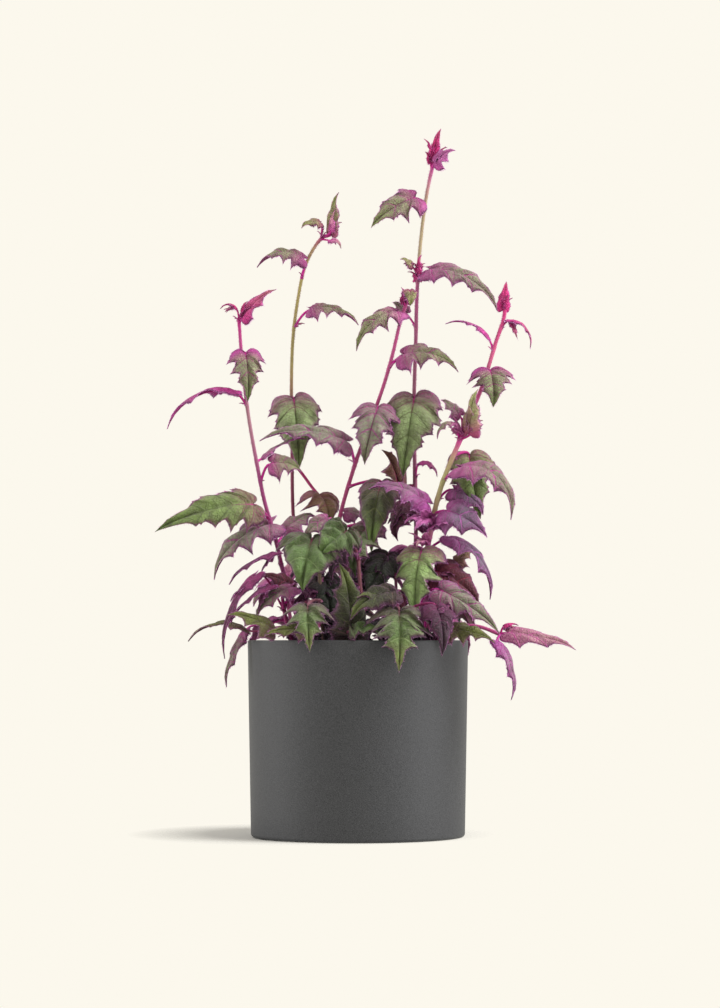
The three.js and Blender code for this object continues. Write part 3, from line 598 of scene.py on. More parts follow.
# A look is the colour of a blade by its petiole, in its middle and at its tip, then its
# underside, its petiole and its veins; how far along the first colour reaches, how far the blade
# puckers in millimetres, how deep the notches between its teeth go as a share of its width, how
# thick its pile is, and how many small leaves stand round it in one tuft.
Look = namedtuple(
    "Look", "base middle tip under petiole vein reach pucker cleft pile tuft", defaults=(0,))
LOOKS = {
    "bud": Look((178, 26, 104), (186, 34, 112), (174, 58, 96), (188, 44, 122), (180, 24, 122),
        (156, 20, 96), 0.3, 0.1, 0.78, 0.9, 6),
    "spire": Look((176, 84, 116), (144, 150, 96), (154, 166, 104), (152, 122, 108), (180, 30, 124),
        (146, 110, 94), 0.35, 0.2, 0.82, 1.0, 6),
    "sprig": Look((156, 88, 108), (128, 133, 82), (118, 134, 62), (148, 108, 106), (182, 28, 130),
        (138, 88, 92), 0.3, 0.3, 0.84, 0.8, 1),
    "young": Look((204, 90, 164), (190, 130, 150), (172, 158, 120), (206, 112, 174), (190, 36, 138),
        (188, 76, 152), 0.4, 0.15, 0.6, 0.6, 2),
    "blush": Look((182, 40, 120), (164, 76, 110), (148, 96, 94), (166, 56, 116), (178, 28, 124),
        (170, 30, 108), 0.4, 0.2, 0.6, 1.4, 2),
    "rose": Look((176, 44, 130), (150, 76, 118), (132, 92, 106), (154, 52, 122), (178, 28, 126),
        (162, 32, 118), 0.5, 0.2, 0.62, 1.4),
    "orchid": Look((182, 76, 148), (176, 98, 152), (162, 88, 136), (176, 84, 150), (180, 32, 130),
        (170, 66, 142), 0.4, 0.2, 0.66, 1.3, 2),
    "lilac": Look((156, 74, 142), (128, 98, 116), (118, 74, 108), (150, 62, 134), (176, 36, 136),
        (160, 58, 138), 0.34, 0.5, 0.66, 1.3),
    "slate": Look((140, 72, 126), (98, 86, 100), (110, 62, 102), (140, 58, 118), (172, 32, 132),
        (156, 84, 148), 0.28, 0.7, 0.66, 1.2),
    "heather": Look((126, 96, 108), (118, 125, 100), (108, 121, 80), (142, 64, 122), (182, 26, 134),
        (136, 48, 112), 0.25, 0.6, 0.62, 1.2),
    "mauve": Look((138, 78, 114), (112, 115, 91), (104, 110, 76), (146, 60, 124), (182, 26, 134),
        (148, 46, 118), 0.34, 0.4, 0.66, 1.2),
    "dusk": Look((142, 70, 114), (116, 121, 86), (112, 133, 64), (146, 62, 120), (182, 26, 134),
        (130, 52, 102), 0.28, 0.6, 0.62, 1.1),
    "crest": Look((148, 52, 118), (114, 124, 86), (90, 120, 48), (140, 54, 110), (180, 26, 132),
        (128, 56, 98), 0.22, 0.5, 0.6, 1.1),
    "sage": Look((104, 80, 88), (106, 122, 84), (98, 122, 70), (122, 56, 98), (164, 30, 116),
        (84, 92, 58), 0.26, 0.8, 0.62, 0.9),
    "moss": Look((106, 86, 84), (122, 140, 92), (106, 130, 70), (118, 60, 92), (162, 32, 114),
        (90, 100, 62), 0.2, 0.9, 0.76, 0.9),
    "leafgreen": Look((112, 106, 76), (108, 128, 70), (94, 118, 52), (116, 78, 86), (162, 32, 112),
        (80, 94, 50), 0.2, 0.6, 0.66, 0.7),
    "faded": Look((160, 98, 126), (156, 116, 123), (148, 108, 111), (148, 80, 116),
        (182, 26, 134), (170, 62, 132), 0.4, 0.4, 0.7, 1.2),
    "star": Look((74, 76, 56), (76, 98, 50), (118, 130, 68), (92, 64, 68), (120, 76, 84),
        (116, 132, 84), 0.3, 1.2, 0.44, 0.9),
    "light": Look((118, 108, 86), (126, 152, 90), (112, 144, 74), (116, 80, 92), (168, 36, 126),
        (94, 112, 66), 0.16, 0.6, 0.54, 1.0),
    "olive": Look((88, 78, 54), (94, 104, 44), (108, 118, 50), (102, 62, 74), (142, 56, 98),
        (80, 78, 40), 0.4, 0.5, 0.6, 0.8),
    "crinkled": Look((66, 80, 50), (80, 104, 56), (94, 122, 60), (90, 50, 68), (112, 52, 72),
        (108, 128, 78), 0.3, 2.4, 0.82, 0.5),
    # This look is the olive look darkened with painted shade, for low olive leaves in the plant's
    # shadow.
    "shaded_olive": Look((40, 36, 28), (48, 54, 28), (88, 102, 40), (80, 44, 58), (104, 52, 66),
        (74, 82, 44), 0.5, 1.8, 0.74, 0.6, 2),
    "folded": Look((76, 66, 58), (66, 76, 46), (98, 130, 50), (92, 50, 70), (156, 32, 108),
        (96, 104, 62), 0.4, 1.4, 0.76, 0.8),
    # This look is painted shade: its near-black colours stand for the shadow deep inside the
    # foliage, on leaves and tufts set where the plant is in shadow.
    "shade": Look((32, 25, 27), (26, 36, 24), (36, 50, 30), (46, 28, 38), (84, 32, 58),
        (56, 62, 46), 0.35, 1.4, 0.7, 0.5, 3),
    "bronze": Look((120, 82, 72), (114, 96, 64), (108, 100, 60), (114, 80, 68), (150, 34, 92),
        (128, 76, 74), 0.4, 0.6, 0.6, 0.8),
    "cocoa": Look((96, 40, 68), (74, 50, 50), (86, 44, 64), (100, 38, 70), (156, 34, 108),
        (116, 38, 80), 0.4, 0.7, 0.6, 0.9, 6),
    "maroon": Look((98, 26, 46), (70, 29, 37), (82, 40, 44), (98, 30, 58), (146, 30, 84),
        (118, 36, 60), 0.35, 0.9, 0.64, 0.8, 2),
    "plum": Look((118, 36, 86), (84, 42, 68), (80, 50, 62), (112, 34, 82), (156, 32, 108),
        (120, 38, 88), 0.4, 0.6, 0.66, 1.0, 1),
    # This look is the plum look darkened with painted shade, for low leaves and tufts in the
    # plant's shadow.
    "plum_in_painted_shade": Look((76, 28, 58), (48, 32, 42), (52, 38, 44), (76, 30, 58), (132, 34, 90),
        (80, 32, 60), 0.4, 1.0, 0.66, 0.5, 3),
}

def tint(shade):
    """A screen colour that can be blended with others."""
    return Vector(pigment(*shade))


# The pale colours that hairs and margins lean to, and how far each kind of hair does
PILE_COLOUR = tint((190, 146, 186))
FRINGE_COLOUR = tint((214, 142, 212))
BLOOM_COLOUR = tint((172, 84, 162))
BLOOM = 0.16
FRINGE_PALENESS = 0.5
PILE_PALENESS = 0.28
PETIOLE_PALENESS = 0.18
STEM_PALENESS = 0.4

# The line of a stem and its fullness, with heights and lengths in millimetres
UP = Vector((0.0, 0.0, 1.0))
ROOT_END = 104.0
STRAIGHT_DEPTH = 8.0
STRAIGHT_RISE = 3.0
STEM_SAMPLES = 200
STEM_SIDES = 10
FULLER_TOP = 1.3
NODE_SWELL = 0.16
NODE_REACH = 2.4

# The form of a blade: shares of its length, its width or its puckers, the powers of its curves,
# and how far chance moves them
ARCH_LEAN = 2.3
LOBE_BACK = 0.09
LOBE_WIDTH = 0.6
LOBE_END = 0.035
LOBE_FULL = 0.84
FIRST_TOOTH = 0.45
TOOTHED_SHARE = 0.72
NOTCH_BEYOND = 0.36
CUPPING = 0.34
MARGIN_WAVE = 0.05
HUMP = 0.17
TOOTH_CURL = 0.08
RUFFLE = 0.028
CRUMPLE = 1.6
LONGER_TEETH = 1.31
TEETH_FOR_CLEFT = 0.48
UNEVEN_PLACE = 0.14
UNEVEN_TOOTH = 0.12
UNEVEN_NOTCH = 0.14
BARB = 0.05
UNEVEN_BARB = 0.04
TIP_START = 0.7
TIP_DROOP = 0.06
VALLEY_DEPTH = 0.45
VALLEY_WIDTH = 0.09
VEIN_SLANT = 3.5
VEIN_BEND = 1.15
TWIST = 0.22
SWAY = 0.07
TONES = (0.92, 1.12)
# Half a blade's thickness and its midrib's, which grows with the blade's width, in millimetres
HALF_THICKNESS = 0.26
RIB_START = 0.55
RIB_STEP = 60.0
RIB_LEAST = 0.65
RIB_MOST = 1.2
# Where the columns of a blade lie across it, and its rows, with fewer for narrow blades
SPREAD = (0.0, 0.12, 0.34, 0.6, 0.84, 1.0)
TINY_SPREAD = (0.0, 0.4, 0.8, 1.0)
TINY_BLADE = 15.0
ROWS_A_TOOTH = 12
SMALL_BLADE = 16.0

# The petiole and the midrib that it runs on as
PETIOLE_SWING = 0.35
PETIOLE_LIFT = 0.1
PETIOLE_SIDES = 8
PETIOLE_STEP = 3.0
FOOT_SWELL = 0.5
FOOT_REACH = 2.2
MIDRIB_STEPS = 8
MIDRIB_END = 0.92

# The hairs: how many grow on a millimetre of margin, petiole or stem, or on a square millimetre
# of blade, how long they are, and how far they stray from standing straight out.
HAIR_RADIUS = 0.085
FRINGE_DENSITY = 2.7
FRINGE_HAIR = (0.6, 1.8)
FRINGE_STRAY = 0.35
PILE_DENSITY = 0.3
PILE_HAIR = (0.4, 0.9)
PILE_STRAY = 0.5
PETIOLE_DENSITY = 8.0
PETIOLE_HAIR = (0.5, 1.2)
STEM_DENSITY = 11.0
STEM_HAIR = (0.5, 1.4)
STEM_STRAY = 0.25

# The tufts: at a stem's foot, in the forks of petioles, and round blades whose look has one
TUFT_LEAN = (14.0, 44.0)
TUFT_TURN = 2.4
TUFT_TEETH = 3
TUFT_PILE = 0.5
BASAL_LENGTH = 15.0
BASAL_WIDTH = 12.0
BASAL_LEAVES = 7
FOOT_CLEARANCE = 2.0
AXIL_LEAST = 9.0
AXIL_LENGTH = (4.0, 7.0)
AXIL_WIDTH = 4.0
LOOK_TUFT_LENGTH = 0.5
LOOK_TUFT_WIDTH = 0.55


def stem_places(shoot):
    heights = (ROOT_END, SOIL_TOP - STRAIGHT_DEPTH, SOIL_TOP + STRAIGHT_RISE)
    buried = [(*shoot.root, height) for height in heights]
    return [Vector(place) for place in buried + shoot.stem]


def stem_point(places, share):
    """A point of the smooth line through the places, as share goes from 0 to 1."""
    spans = len(places) - 1
    span = min(int(share * spans), spans - 1)
    part = share * spans - span
    here, there = places[span], places[span + 1]
    before = places[span - 1] if span else 2.0 * here - there
    after = places[span + 2] if span + 2 <= spans else 2.0 * there - here
    gap_before = math.sqrt((here - before).length)
    gap = math.sqrt((there - here).length)
    gap_after = math.sqrt((after - there).length)
    leaving = ((here - before) / gap_before - (there - before) / (gap_before + gap)
        + (there - here) / gap) * gap
    arriving = ((there - here) / gap - (after - here) / (gap + gap_after)
        + (after - there) / gap_after) * gap
    square, cube = part * part, part ** 3
    return (here * (2.0 * cube - 3.0 * square + 1.0) + leaving * (cube - 2.0 * square + part)
        + there * (3.0 * square - 2.0 * cube) + arriving * (cube - square))


def stem_at_height(line, height):
    for low, high in zip(reversed(line[:-1]), reversed(line[1:])):
        part = (height - low.z) / (high.z - low.z)
        if 0.0 <= part <= 1.001:
            return low.lerp(high, part)
    raise ValueError(f"no stem at height {height}")


def shade_at(stops, height):
    """The bark's colour at a height, between the stops on either side of it."""
    for (low, below), (high, above) in zip(stops, stops[1:]):
        if height <= high:
            part = max(0.0, (height - low) / (high - low))
            return tint(below).lerp(tint(above), part)
    return tint(stops[-1][1])


def half_width(u):
    """Half the width of a blade without its teeth, widest near the petiole."""
    return 1.03 * (1.0 - u) ** 1.3 * (1.0 + 1.4 * u)


class Blade:
    """One leaf blade. Row t runs from -0.5 at the petiole over the side veins, at the whole
    numbers, to the number of points at the tip; s runs across it from -1 to 1."""

    def __init__(self, joint, reach, width, roll, bow, teeth, look, chance):
        self.joint = joint
        self.length = reach.length
        self.along = reach.normalized()
        level = (UP - self.along * UP.dot(self.along)).normalized()
        self.face = Matrix.Rotation(math.radians(roll), 3, self.along) @ level
        self.across = self.along.cross(self.face)
        self.width = width
        self.bow = bow
        self.teeth = teeth
        self.look = look
        self.rib = min(max(RIB_START + width / RIB_STEP, RIB_LEAST), RIB_MOST)
        self.rows = ROWS_A_TOOTH if width >= SMALL_BLADE else ROWS_A_TOOTH // 2
        self.spread = SPREAD if width >= TINY_BLADE else TINY_SPREAD
        self.phase = chance.uniform(*ANY_TURN)
        self.twist = chance.uniform(-TWIST, TWIST)
        self.sway = chance.uniform(-SWAY, SWAY)
        self.uneven = [chance.uniform(-1.0, 1.0) for _ in range(4 * teeth + 4)]
        self.tone = chance.uniform(*TONES)

    def tangent(self, u):
        slope = (1.0 - 2.0 * u) * (ARCH_LEAN - u) - u * (1.0 - u)
        return (self.along + self.face * (self.bow * slope)).normalized()

    def normal(self, u):
        return self.across.cross(self.tangent(u)).normalized()

    def place(self, u, q, lift):
        arch = u * (1.0 - u) * (ARCH_LEAN - u)
        half = self.width / 2.0
        droop = TIP_DROOP * max(0.0, (u - TIP_START) / (1.0 - TIP_START)) ** 2
        return (self.joint + self.along * (self.length * u)
            + self.face * (self.bow * self.length * arch)
            + self.across * (q * half + self.sway * self.length * u * u)
            + self.normal(u) * (lift - CUPPING * q * q * half + self.twist * u * q * half
                - droop * self.length))

    def tip(self, tooth, side):
        luck = self.uneven[2 * tooth + (side > 0)]
        u = TOOTHED_SHARE / (self.teeth - 1) * (tooth - FIRST_TOOTH + UNEVEN_PLACE * luck)
        reach = LONGER_TEETH - TEETH_FOR_CLEFT * self.look.cleft + UNEVEN_TOOTH * luck
        return u, half_width(u) * reach

    def notch(self, tooth, side):
        u = TOOTHED_SHARE / (self.teeth - 1) * (tooth - FIRST_TOOTH + NOTCH_BEYOND)
        luck = self.uneven[2 * self.teeth + 2 * tooth + (side > 0)]
        return u, self.look.cleft * half_width(u) * (1.0 + UNEVEN_NOTCH * luck)

    def margin(self, t, side):
        """How far along the midrib and across it the margin lies at row t. A third of each row
        goes from a tooth's tip to its notch, and the rest to the next tip."""
        base = 2.0 * self.rib / self.width
        if t <= 0.0:
            turn = math.pi * (t + 0.5)
            return -LOBE_BACK * math.sin(turn), between(base, LOBE_WIDTH, 1.0 - math.cos(turn))
        if t <= 1.0 / 3.0:
            turn = 1.5 * math.pi * t
            return (between(-LOBE_BACK, LOBE_END, 1.0 - math.cos(turn)),
                between(LOBE_WIDTH, LOBE_FULL, math.sin(turn)))
        tooth = min(int(t + 1e-6), self.teeth - 1)
        past = t - tooth
        notch_u, notch_q = self.notch(tooth, side) if tooth else (LOBE_END, LOBE_FULL)
        if past <= 1.0 / 3.0:
            part = 3.0 * past
            tip_u, tip_q = self.tip(tooth, side)
            return between(tip_u, notch_u, part), between(tip_q, notch_q, part ** 0.55)
        part = min(1.0, (past - 1.0 / 3.0) * 1.5)
        luck = self.uneven[2 * tooth + (side < 0)]
        barb = max(0.0, 1.0 - abs(part - 0.5) / 0.13) * (BARB + UNEVEN_BARB * luck)
        if tooth == self.teeth - 1:
            fall = notch_q * (1.0 - part) ** 0.95
            return between(notch_u, 1.0, part), fall + 0.7 * barb
        next_u, next_q = self.tip(tooth + 1, side)
        flare = 0.5 * part + 0.5 * part ** 4
        return between(notch_u, next_u, part), between(notch_q, next_q, flare) + barb

    def spot(self, t, s):
        """The place of row t and column s on the blade, as shares along and across it."""
        edge_u, edge_q = self.margin(t, s)
        rib_u = ((t + 0.5) / (self.teeth + 0.5)) ** VEIN_SLANT
        return between(rib_u, edge_u, abs(s) ** VEIN_BEND), math.copysign(edge_q * abs(s), s)

    def lift(self, t, s, q):
        """The waves of the margin, the puckers between the veins and the valley of the midrib."""
        half = self.width / 2.0
        fade = min(1.0, self.teeth - t)
        wave = -math.cos(math.pi * t) * abs(q) * MARGIN_WAVE * self.width * fade
        ruffle = math.sin(4.3 * t + self.phase + 2.1 * (s > 0))
        ruffle *= RUFFLE * self.width * abs(s) ** 2 * fade
        curl = max(0.0, 1.0 - 3.0 * abs(t - round(t)))
        curl *= -TOOTH_CURL * self.width * abs(s) ** 5 * fade
        hump = HUMP * half * math.sin(math.pi * min(1.0, abs(q)) ** 0.8)
        panel = math.sin(math.pi * (t % 1.0)) ** 2 * math.sin(math.pi * abs(s) ** 0.8)
        crumple = noise.noise(Vector((3.2 * s, 1.7 * t, self.phase)))
        crumple = crumple * min(1.0, 3.0 * abs(s)) * fade
        valley = -VALLEY_DEPTH * math.exp(-((s / VALLEY_WIDTH) ** 2))
        puckers = self.look.pucker * (panel + valley + CRUMPLE * crumple)
        return wave + ruffle + curl * (t > 0.5) + hump + puckers

    def point(self, t, s, thickness):
        u, q = self.spot(t, s)
        return self.place(u, q, self.lift(t, s, q) + thickness)


def blade_colour(blade, u, s, under):
    look = blade.look
    base, middle, tip = (tint(shade) for shade in look[:3])
    if under:
        return tint(look.under).lerp(middle, 0.15)
    near = min(1.0, max(0.0, u / look.reach - 0.25 * abs(s) ** 2))
    far = min(1.0, max(0.0, (u - 0.5) / 0.42))
    shade = base.lerp(middle, near ** 0.8).lerp(tip, far) * blade.tone
    shade = shade.lerp(BLOOM_COLOUR, BLOOM * look.pile ** 2 * abs(s) ** 5)
    return Vector((shade.x, shade.y, shade.z, 1.0))


def fringe_colour(look):
    return tint(look.petiole).lerp(FRINGE_COLOUR, FRINGE_PALENESS * look.pile)


def grow_blade(bm, layers, blade):
    columns = len(blade.spread) - 1
    rows = blade.rows * blade.teeth + blade.rows // 2
    petiole = tint(blade.look.petiole)
    rim = fringe_colour(blade.look)
    vein = tint(blade.look.vein)
    grown = []
    for under in (False, True):
        sheet = bmesh.ops.create_grid(bm, x_segments=2 * columns, y_segments=rows, size=1.0)
        grown += sheet["verts"]
        for v in sheet["verts"]:
            column = round(v.co.x * columns)
            s = math.copysign(blade.spread[abs(column)], column)
            t = round((v.co.y + 1.0) / 2.0 * rows) / blade.rows - 0.5
            thick = HALF_THICKNESS * (1.0 - s ** 4) * min(1.0, 4.0 * (t + 0.5))
            u, _ = blade.spot(t, s)
            v.co = blade.point(t, s, -thick if under else thick) * MM
            v[layers["skin"]] = blade_colour(blade, u, s, under)
            line = (petiole * 0.8).lerp(vein, min(1.0, max(0.0, 4.0 * u)))
            v[layers["vein"]] = rim if abs(column) == columns else line
            v[layers["weave"]] = Vector((s, t, float(under)))
    bmesh.ops.remove_doubles(bm, verts=grown, dist=2e-6)


def grow_tube(bm, layers, line, sides):
    """A closed round tube through (place, radius, colour) steps."""
    centres = [place for place, _, _ in line]
    heading = (centres[1] - centres[0]).normalized()
    turned = UP.rotation_difference(heading)
    ring = bmesh.ops.create_circle(bm, cap_ends=True, segments=sides, radius=1.0)["verts"]
    edges = list(dict.fromkeys(edge for v in ring for edge in v.link_edges))
    flat = [v.co.copy() for v in ring]
    faces = set()
    for step, (centre, radius, colour) in enumerate(line):
        if step:
            faces.update(face for v in ring for face in v.link_faces)
            grown = bmesh.ops.extrude_edge_only(bm, edges=edges)["geom"]
            edges = [item for item in grown if isinstance(item, bmesh.types.BMEdge)]
            moved = {v for edge in edges for v in edge.verts}
            follows = {other: v for v in ring for edge in v.link_edges
                for other in (edge.other_vert(v),) if other in moved}
            ring = [next(new for new, old in follows.items() if old is v) for v in ring]
            ahead = centres[min(step + 1, len(centres) - 1)] - centres[step - 1]
            ahead.normalize()
            turned = heading.rotation_difference(ahead) @ turned
            heading = ahead
        for v, place in zip(ring, flat):
            v.co = (centre + turned @ (place * radius)) * MM
            v[layers["skin"]] = colour
    cap = bmesh.ops.edgeloop_fill(bm, edges=edges)["faces"]
    faces.update(face for v in ring for face in v.link_faces)
    faces.update(cap)
    for face in faces:
        face.material_index = 1


def grow_hair(bm, layers, root, way, lengths, colour, chance):
    """A thin three-sided cone on a root in millimetres."""
    root = root * MM
    side = way.orthogonal().normalized() * (HAIR_RADIUS * MM)
    other = way.cross(side)
    foot = [bm.verts.new(root + side), bm.verts.new(root - 0.5 * side + 0.87 * other),
        bm.verts.new(root - 0.5 * side - 0.87 * other)]
    tip = bm.verts.new(root + way * (chance.uniform(*lengths) * MM))
    for v in (*foot, tip):
        v[layers["skin"]] = colour
    a, b, c = foot
    for corners in ((a, b, tip), (b, c, tip), (c, a, tip), (c, b, a)):
        bm.faces.new(corners).material_index = 2


def scatter(chance):
    """A short way in any direction."""
    return Vector((chance.gauss(0.0, 1.0), chance.gauss(0.0, 1.0), chance.gauss(0.0, 1.0)))


def grow_pile(bm, layers, blade, share, chance):
    """The hairs of a blade: a fringe along its margin, and a pile over both faces."""
    density = blade.look.pile * share
    around = 2.3 * (blade.length + 0.5 * blade.width)
    fringe = fringe_colour(blade.look)
    for _ in range(int(around * FRINGE_DENSITY * density)):
        t = chance.uniform(-0.4, blade.teeth)
        side = chance.choice((-1.0, 1.0))
        root = blade.point(t, side, 0.0)
        inner = blade.point(t, 0.9 * side, 0.0)
        way = ((root - inner).normalized() + FRINGE_STRAY * scatter(chance)).normalized()
        grow_hair(bm, layers, root, way, FRINGE_HAIR, fringe, chance)
    area = 0.55 * blade.length * blade.width
    for number in range(int(area * PILE_DENSITY * density)):
        t = chance.uniform(-0.3, blade.teeth - 0.1)
        s = chance.uniform(-0.97, 0.97)
        face = -1.0 if number % 3 == 0 else 1.0
        u, _ = blade.spot(t, s)
        root = blade.point(t, s, face * 0.8 * HALF_THICKNESS)
        way = (blade.normal(u) * face + PILE_STRAY * scatter(chance)).normalized()
        shade = blade_colour(blade, u, s, face < 0.0)
        shade = shade.lerp(PILE_COLOUR, PILE_PALENESS * blade.look.pile)
        grow_hair(bm, layers, root, way, PILE_HAIR, shade, chance)


def grow_tuft(bm, layers, foot, way, length, width, count, look, chance):
    """Small young leaves that stand close round one way out of a foot."""
    for number in range(count):
        lean = math.radians(chance.uniform(*TUFT_LEAN))
        aside = Matrix.Rotation(TUFT_TURN * number + chance.uniform(-0.4, 0.4), 3, way)
        leaning = way * math.cos(lean) + aside @ way.orthogonal().normalized() * math.sin(lean)
        reach = leaning * (length * chance.uniform(0.7, 1.2))
        roll = math.degrees(chance.uniform(-0.6, 0.6))
        joint = foot + way * (length * chance.uniform(0.0, 0.4))
        full = width * chance.uniform(0.8, 1.2)
        bow = chance.uniform(-0.1, 0.25)
        small = Blade(joint, reach, full, roll, bow, TUFT_TEETH, look, chance)
        grow_blade(bm, layers, small)
        grow_pile(bm, layers, small, TUFT_PILE, chance)


def petiole_line(root, reach, blade):
    """The steps of a petiole, from the stem to the blade's joint."""
    span = reach.length
    end = blade.joint
    colour = tint(blade.look.petiole)
    pull_out = root + reach * PETIOLE_SWING + Vector((0.0, 0.0, PETIOLE_LIFT * span))
    pull_in = end - blade.tangent(0.0) * (PETIOLE_SWING * span)
    steps = max(4, round(span / PETIOLE_STEP))
    line = []
    for step in range(steps):
        p = step / steps
        k = 1.0 - p
        place = (root * k ** 3 + pull_out * (3.0 * k * k * p) + pull_in * (3.0 * k * p * p)
            + end * p ** 3)
        swell = 1.0 + FOOT_SWELL * math.exp(-((p * span / FOOT_REACH) ** 2))
        line.append((place, 0.95 * blade.rib * swell, colour))
    return line


def midrib_line(blade):
    """The steps of a midrib, which lies under its blade and thins out to the tip."""
    look = blade.look
    line = []
    for step in range(MIDRIB_STEPS + 1):
        u = MIDRIB_END * step / MIDRIB_STEPS
        radius = blade.rib * (0.66 * (1.0 - u) ** 0.8 + 0.08)
        sunk = -0.75 * radius - VALLEY_DEPTH * look.pucker if step else -0.2 * radius
        colour = tint(look.petiole).lerp(tint(look.under), min(1.0, 1.5 * u))
        line.append((blade.place(u, 0.0, sunk), radius, colour))
    return line


def grow_leaf(bm, layers, row, line, chance):
    height, reach, direction, width, roll, bow, teeth, name = row
    look = LOOKS[name]
    reach = Vector(reach)
    span = reach.length
    root = stem_at_height(line, height)
    blade = Blade(root + reach, Vector(direction), width, roll, bow, teeth, look, chance)
    grow_blade(bm, layers, blade)
    petiole = petiole_line(root, reach, blade)
    tube = petiole + midrib_line(blade)
    grow_tube(bm, layers, tube, PETIOLE_SIDES)

    grow_pile(bm, layers, blade, 1.0, chance)
    grow_tuft(bm, layers, blade.joint, blade.along, LOOK_TUFT_LENGTH * blade.length,
        max(3.0, LOOK_TUFT_WIDTH * width), look.tuft, look, chance)
    if span > AXIL_LEAST:
        grow_tuft(bm, layers, root, reach.normalized(), chance.uniform(*AXIL_LENGTH),
            AXIL_WIDTH, 2, LOOKS["young"], chance)
    steps = len(petiole)
    fuzz = tint(look.petiole).lerp(FRINGE_COLOUR, PETIOLE_PALENESS)
    for _ in range(int(span * PETIOLE_DENSITY)):
        along = chance.uniform(0.05, 1.0) * steps
        below = tube[min(int(along), steps - 1)][0]
        above = tube[min(int(along) + 1, steps)][0]
        way = scatter(chance).normalized()
        root = below.lerp(above, along % 1.0) + way * 0.8 * blade.rib
        grow_hair(bm, layers, root, way, PETIOLE_HAIR, fuzz, chance)


def grow_stem(bm, layers, shoot, line, chance):
    low, high = shoot.thickness
    high *= FULLER_TOP
    count = len(line) - 1
    joints = [row[0] for row in shoot.leaves]
    tube = []
    for step in range(0, count + 1, 2):
        place = line[step]
        swell = sum(math.exp(-(((place.z - joint) / NODE_REACH) ** 2)) for joint in joints)
        radius = between(low, high, step / count) / 2.0 * (1.0 + NODE_SWELL * min(1.0, swell))
        tube.append((place, radius, shade_at(shoot.bark, place.z)))
    grow_tube(bm, layers, tube, STEM_SIDES)
    length = sum((after - before).length for before, after in zip(line, line[1:]))
    for _ in range(int(length * STEM_DENSITY)):
        step = chance.randrange(int(0.1 * count), count)
        place = line[step].lerp(line[step + 1], chance.random())
        if place.z < SOIL_TOP + FOOT_CLEARANCE:
            continue
        ahead = (line[step + 1] - line[step]).normalized()
        out = scatter(chance)
        out = (out - ahead * out.dot(ahead)).normalized()
        radius = between(low, high, step / count) / 2.0
        way = (out + STEM_STRAY * scatter(chance)).normalized()
        fuzz = shade_at(shoot.bark, place.z).lerp(FRINGE_COLOUR, STEM_PALENESS)
        grow_hair(bm, layers, place + out * 0.9 * radius, way, STEM_HAIR, fuzz, chance)


# The finishes of the living parts: blades, stalks and hairs. The skin attribute holds each
# part's colour, with painted shade in it for the darkest looks, vein the colour of the veins on it,
# and weave where a point lies on its blade.
blade_finish = Finish("velvet_blade", Specular_IOR_Level=0.32, Sheen_Weight=0.12,
    Sheen_Roughness=0.4, Sheen_Tint=pigment(208, 132, 222), Subsurface_Weight=0.1,
    Subsurface_Radius=(1.0, 0.8, 0.9), Subsurface_Scale=0.0006)
skin = blade_finish.attribute("skin")
lined = blade_finish.attribute("vein")
weave = blade_finish.attribute("weave", "Vector")
across, row, under = (
    blade_finish.node("ShaderNodeSeparateXYZ", {}, {0: weave}, output=axis) for axis in "XYZ")
across = across.size()
off_vein = (row - row.math("ROUND")).size()
side_vein = (1.0 - off_vein / (0.06 - across * 0.035)).within()
midrib = (1.0 - across / 0.055).within()
veins = side_vein.math("MAXIMUM", midrib)
slanted = row * 3.0 + across * 2.2
off_branch = (slanted - slanted.math("ROUND")).size()
branches = (1.0 - off_branch / 0.1).within() * (across * 3.0).within()
cells = blade_finish.node("ShaderNodeTexVoronoi", {"feature": "DISTANCE_TO_EDGE"},
    {"Vector": blade_finish.place(), "Scale": 420.0})
net = (1.0 - cells / 0.14).within()
mottle = blade_finish.grain(170.0, 4.0)
pile = blade_finish.grain(1000.0, 3.0)
body = blade_finish.blend(((mottle - 0.38) * 2.6).within(), skin,
    blade_finish.blend(1.0, skin, pigment(176, 162, 170), "MULTIPLY"))
veined = blade_finish.blend((veins * 0.85 + branches * 0.42 + net * 0.28).within(), body, lined)
rim = ((across - 0.92) * 14.0).within()
rimmed = blade_finish.blend(rim * 0.75, veined, lined)
frosted = blade_finish.blend(((pile - 0.55) * 2.4).within() * 0.22, rimmed, pigment(176, 158, 172))
blade_finish.feed("Base Color", frosted)
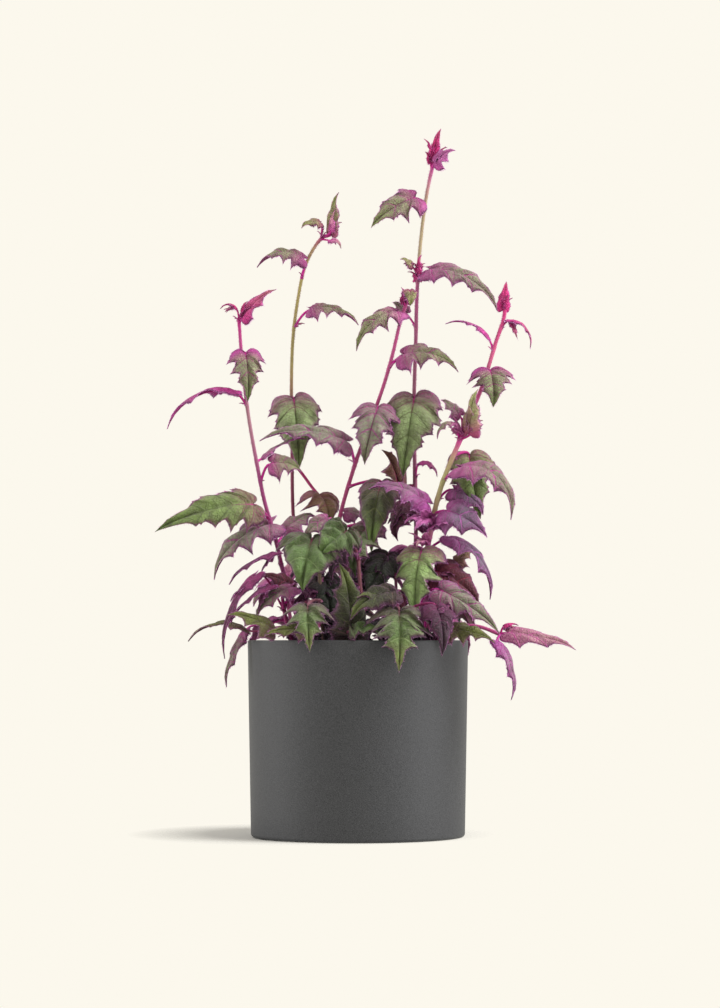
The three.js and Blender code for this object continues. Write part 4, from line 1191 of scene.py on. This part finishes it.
blade_finish.feed("Roughness", 0.6 + pile * 0.2)
sunken = (veins * -0.8 - branches * 0.4 - net * 0.5 + mottle * 1.6) * (1.0 - under * 2.0)
blade_finish.relief(sunken + pile * 0.35, 0.0006)

stalk_finish = Finish("hairy_stalk", Specular_IOR_Level=0.24, Sheen_Weight=0.1,
    Sheen_Roughness=0.4, Sheen_Tint=pigment(214, 110, 206))
bark = stalk_finish.attribute("skin")
streaks = stalk_finish.grain(240.0, 3.0)
stalk_finish.feed("Base Color", stalk_finish.blend(streaks * 0.5, bark,
    stalk_finish.blend(1.0, bark, pigment(170, 150, 160), "MULTIPLY")))
stalk_finish.feed("Roughness", 0.5 + streaks * 0.2)
stalk_finish.relief(streaks, 0.0003)

hair_finish = Finish("violet_hairs", Roughness=0.55, Specular_IOR_Level=0.3)
strand = hair_finish.attribute("skin")
fading = hair_finish.grain(500.0)
hair_finish.feed("Base Color", hair_finish.blend(fading * 0.4, strand, pigment(226, 190, 226)))

for name, shoot in SHOOTS.items():
    chance = random.Random(name)
    bm = bmesh.new()
    layers = {
        "skin": bm.verts.layers.float_color.new("skin"),
        "vein": bm.verts.layers.float_color.new("vein"),
        "weave": bm.verts.layers.float_vector.new("weave"),
    }
    places = stem_places(shoot)
    line = [stem_point(places, step / STEM_SAMPLES) for step in range(STEM_SAMPLES + 1)]
    grow_stem(bm, layers, shoot, line, chance)
    for row in shoot.leaves:
        grow_leaf(bm, layers, row, line, chance)
    basal = (SOIL_TOP + FOOT_CLEARANCE, UP, BASAL_LENGTH, BASAL_WIDTH, BASAL_LEAVES, shoot.basal)
    for height, way, length, width, count, look in (basal, *shoot.tufts):
        grow_tuft(bm, layers, stem_at_height(line, height), Vector(way).normalized(), length,
            width, count, LOOKS[look], chance)
    bmesh.ops.recalc_face_normals(bm, faces=[face for face in bm.faces if face.material_index < 2])
    foliage = finished(f"{name}_foliage", bm,
        [blade_finish.material, stalk_finish.material, hair_finish.material])
    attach(foliage, "root")
    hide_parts(name)
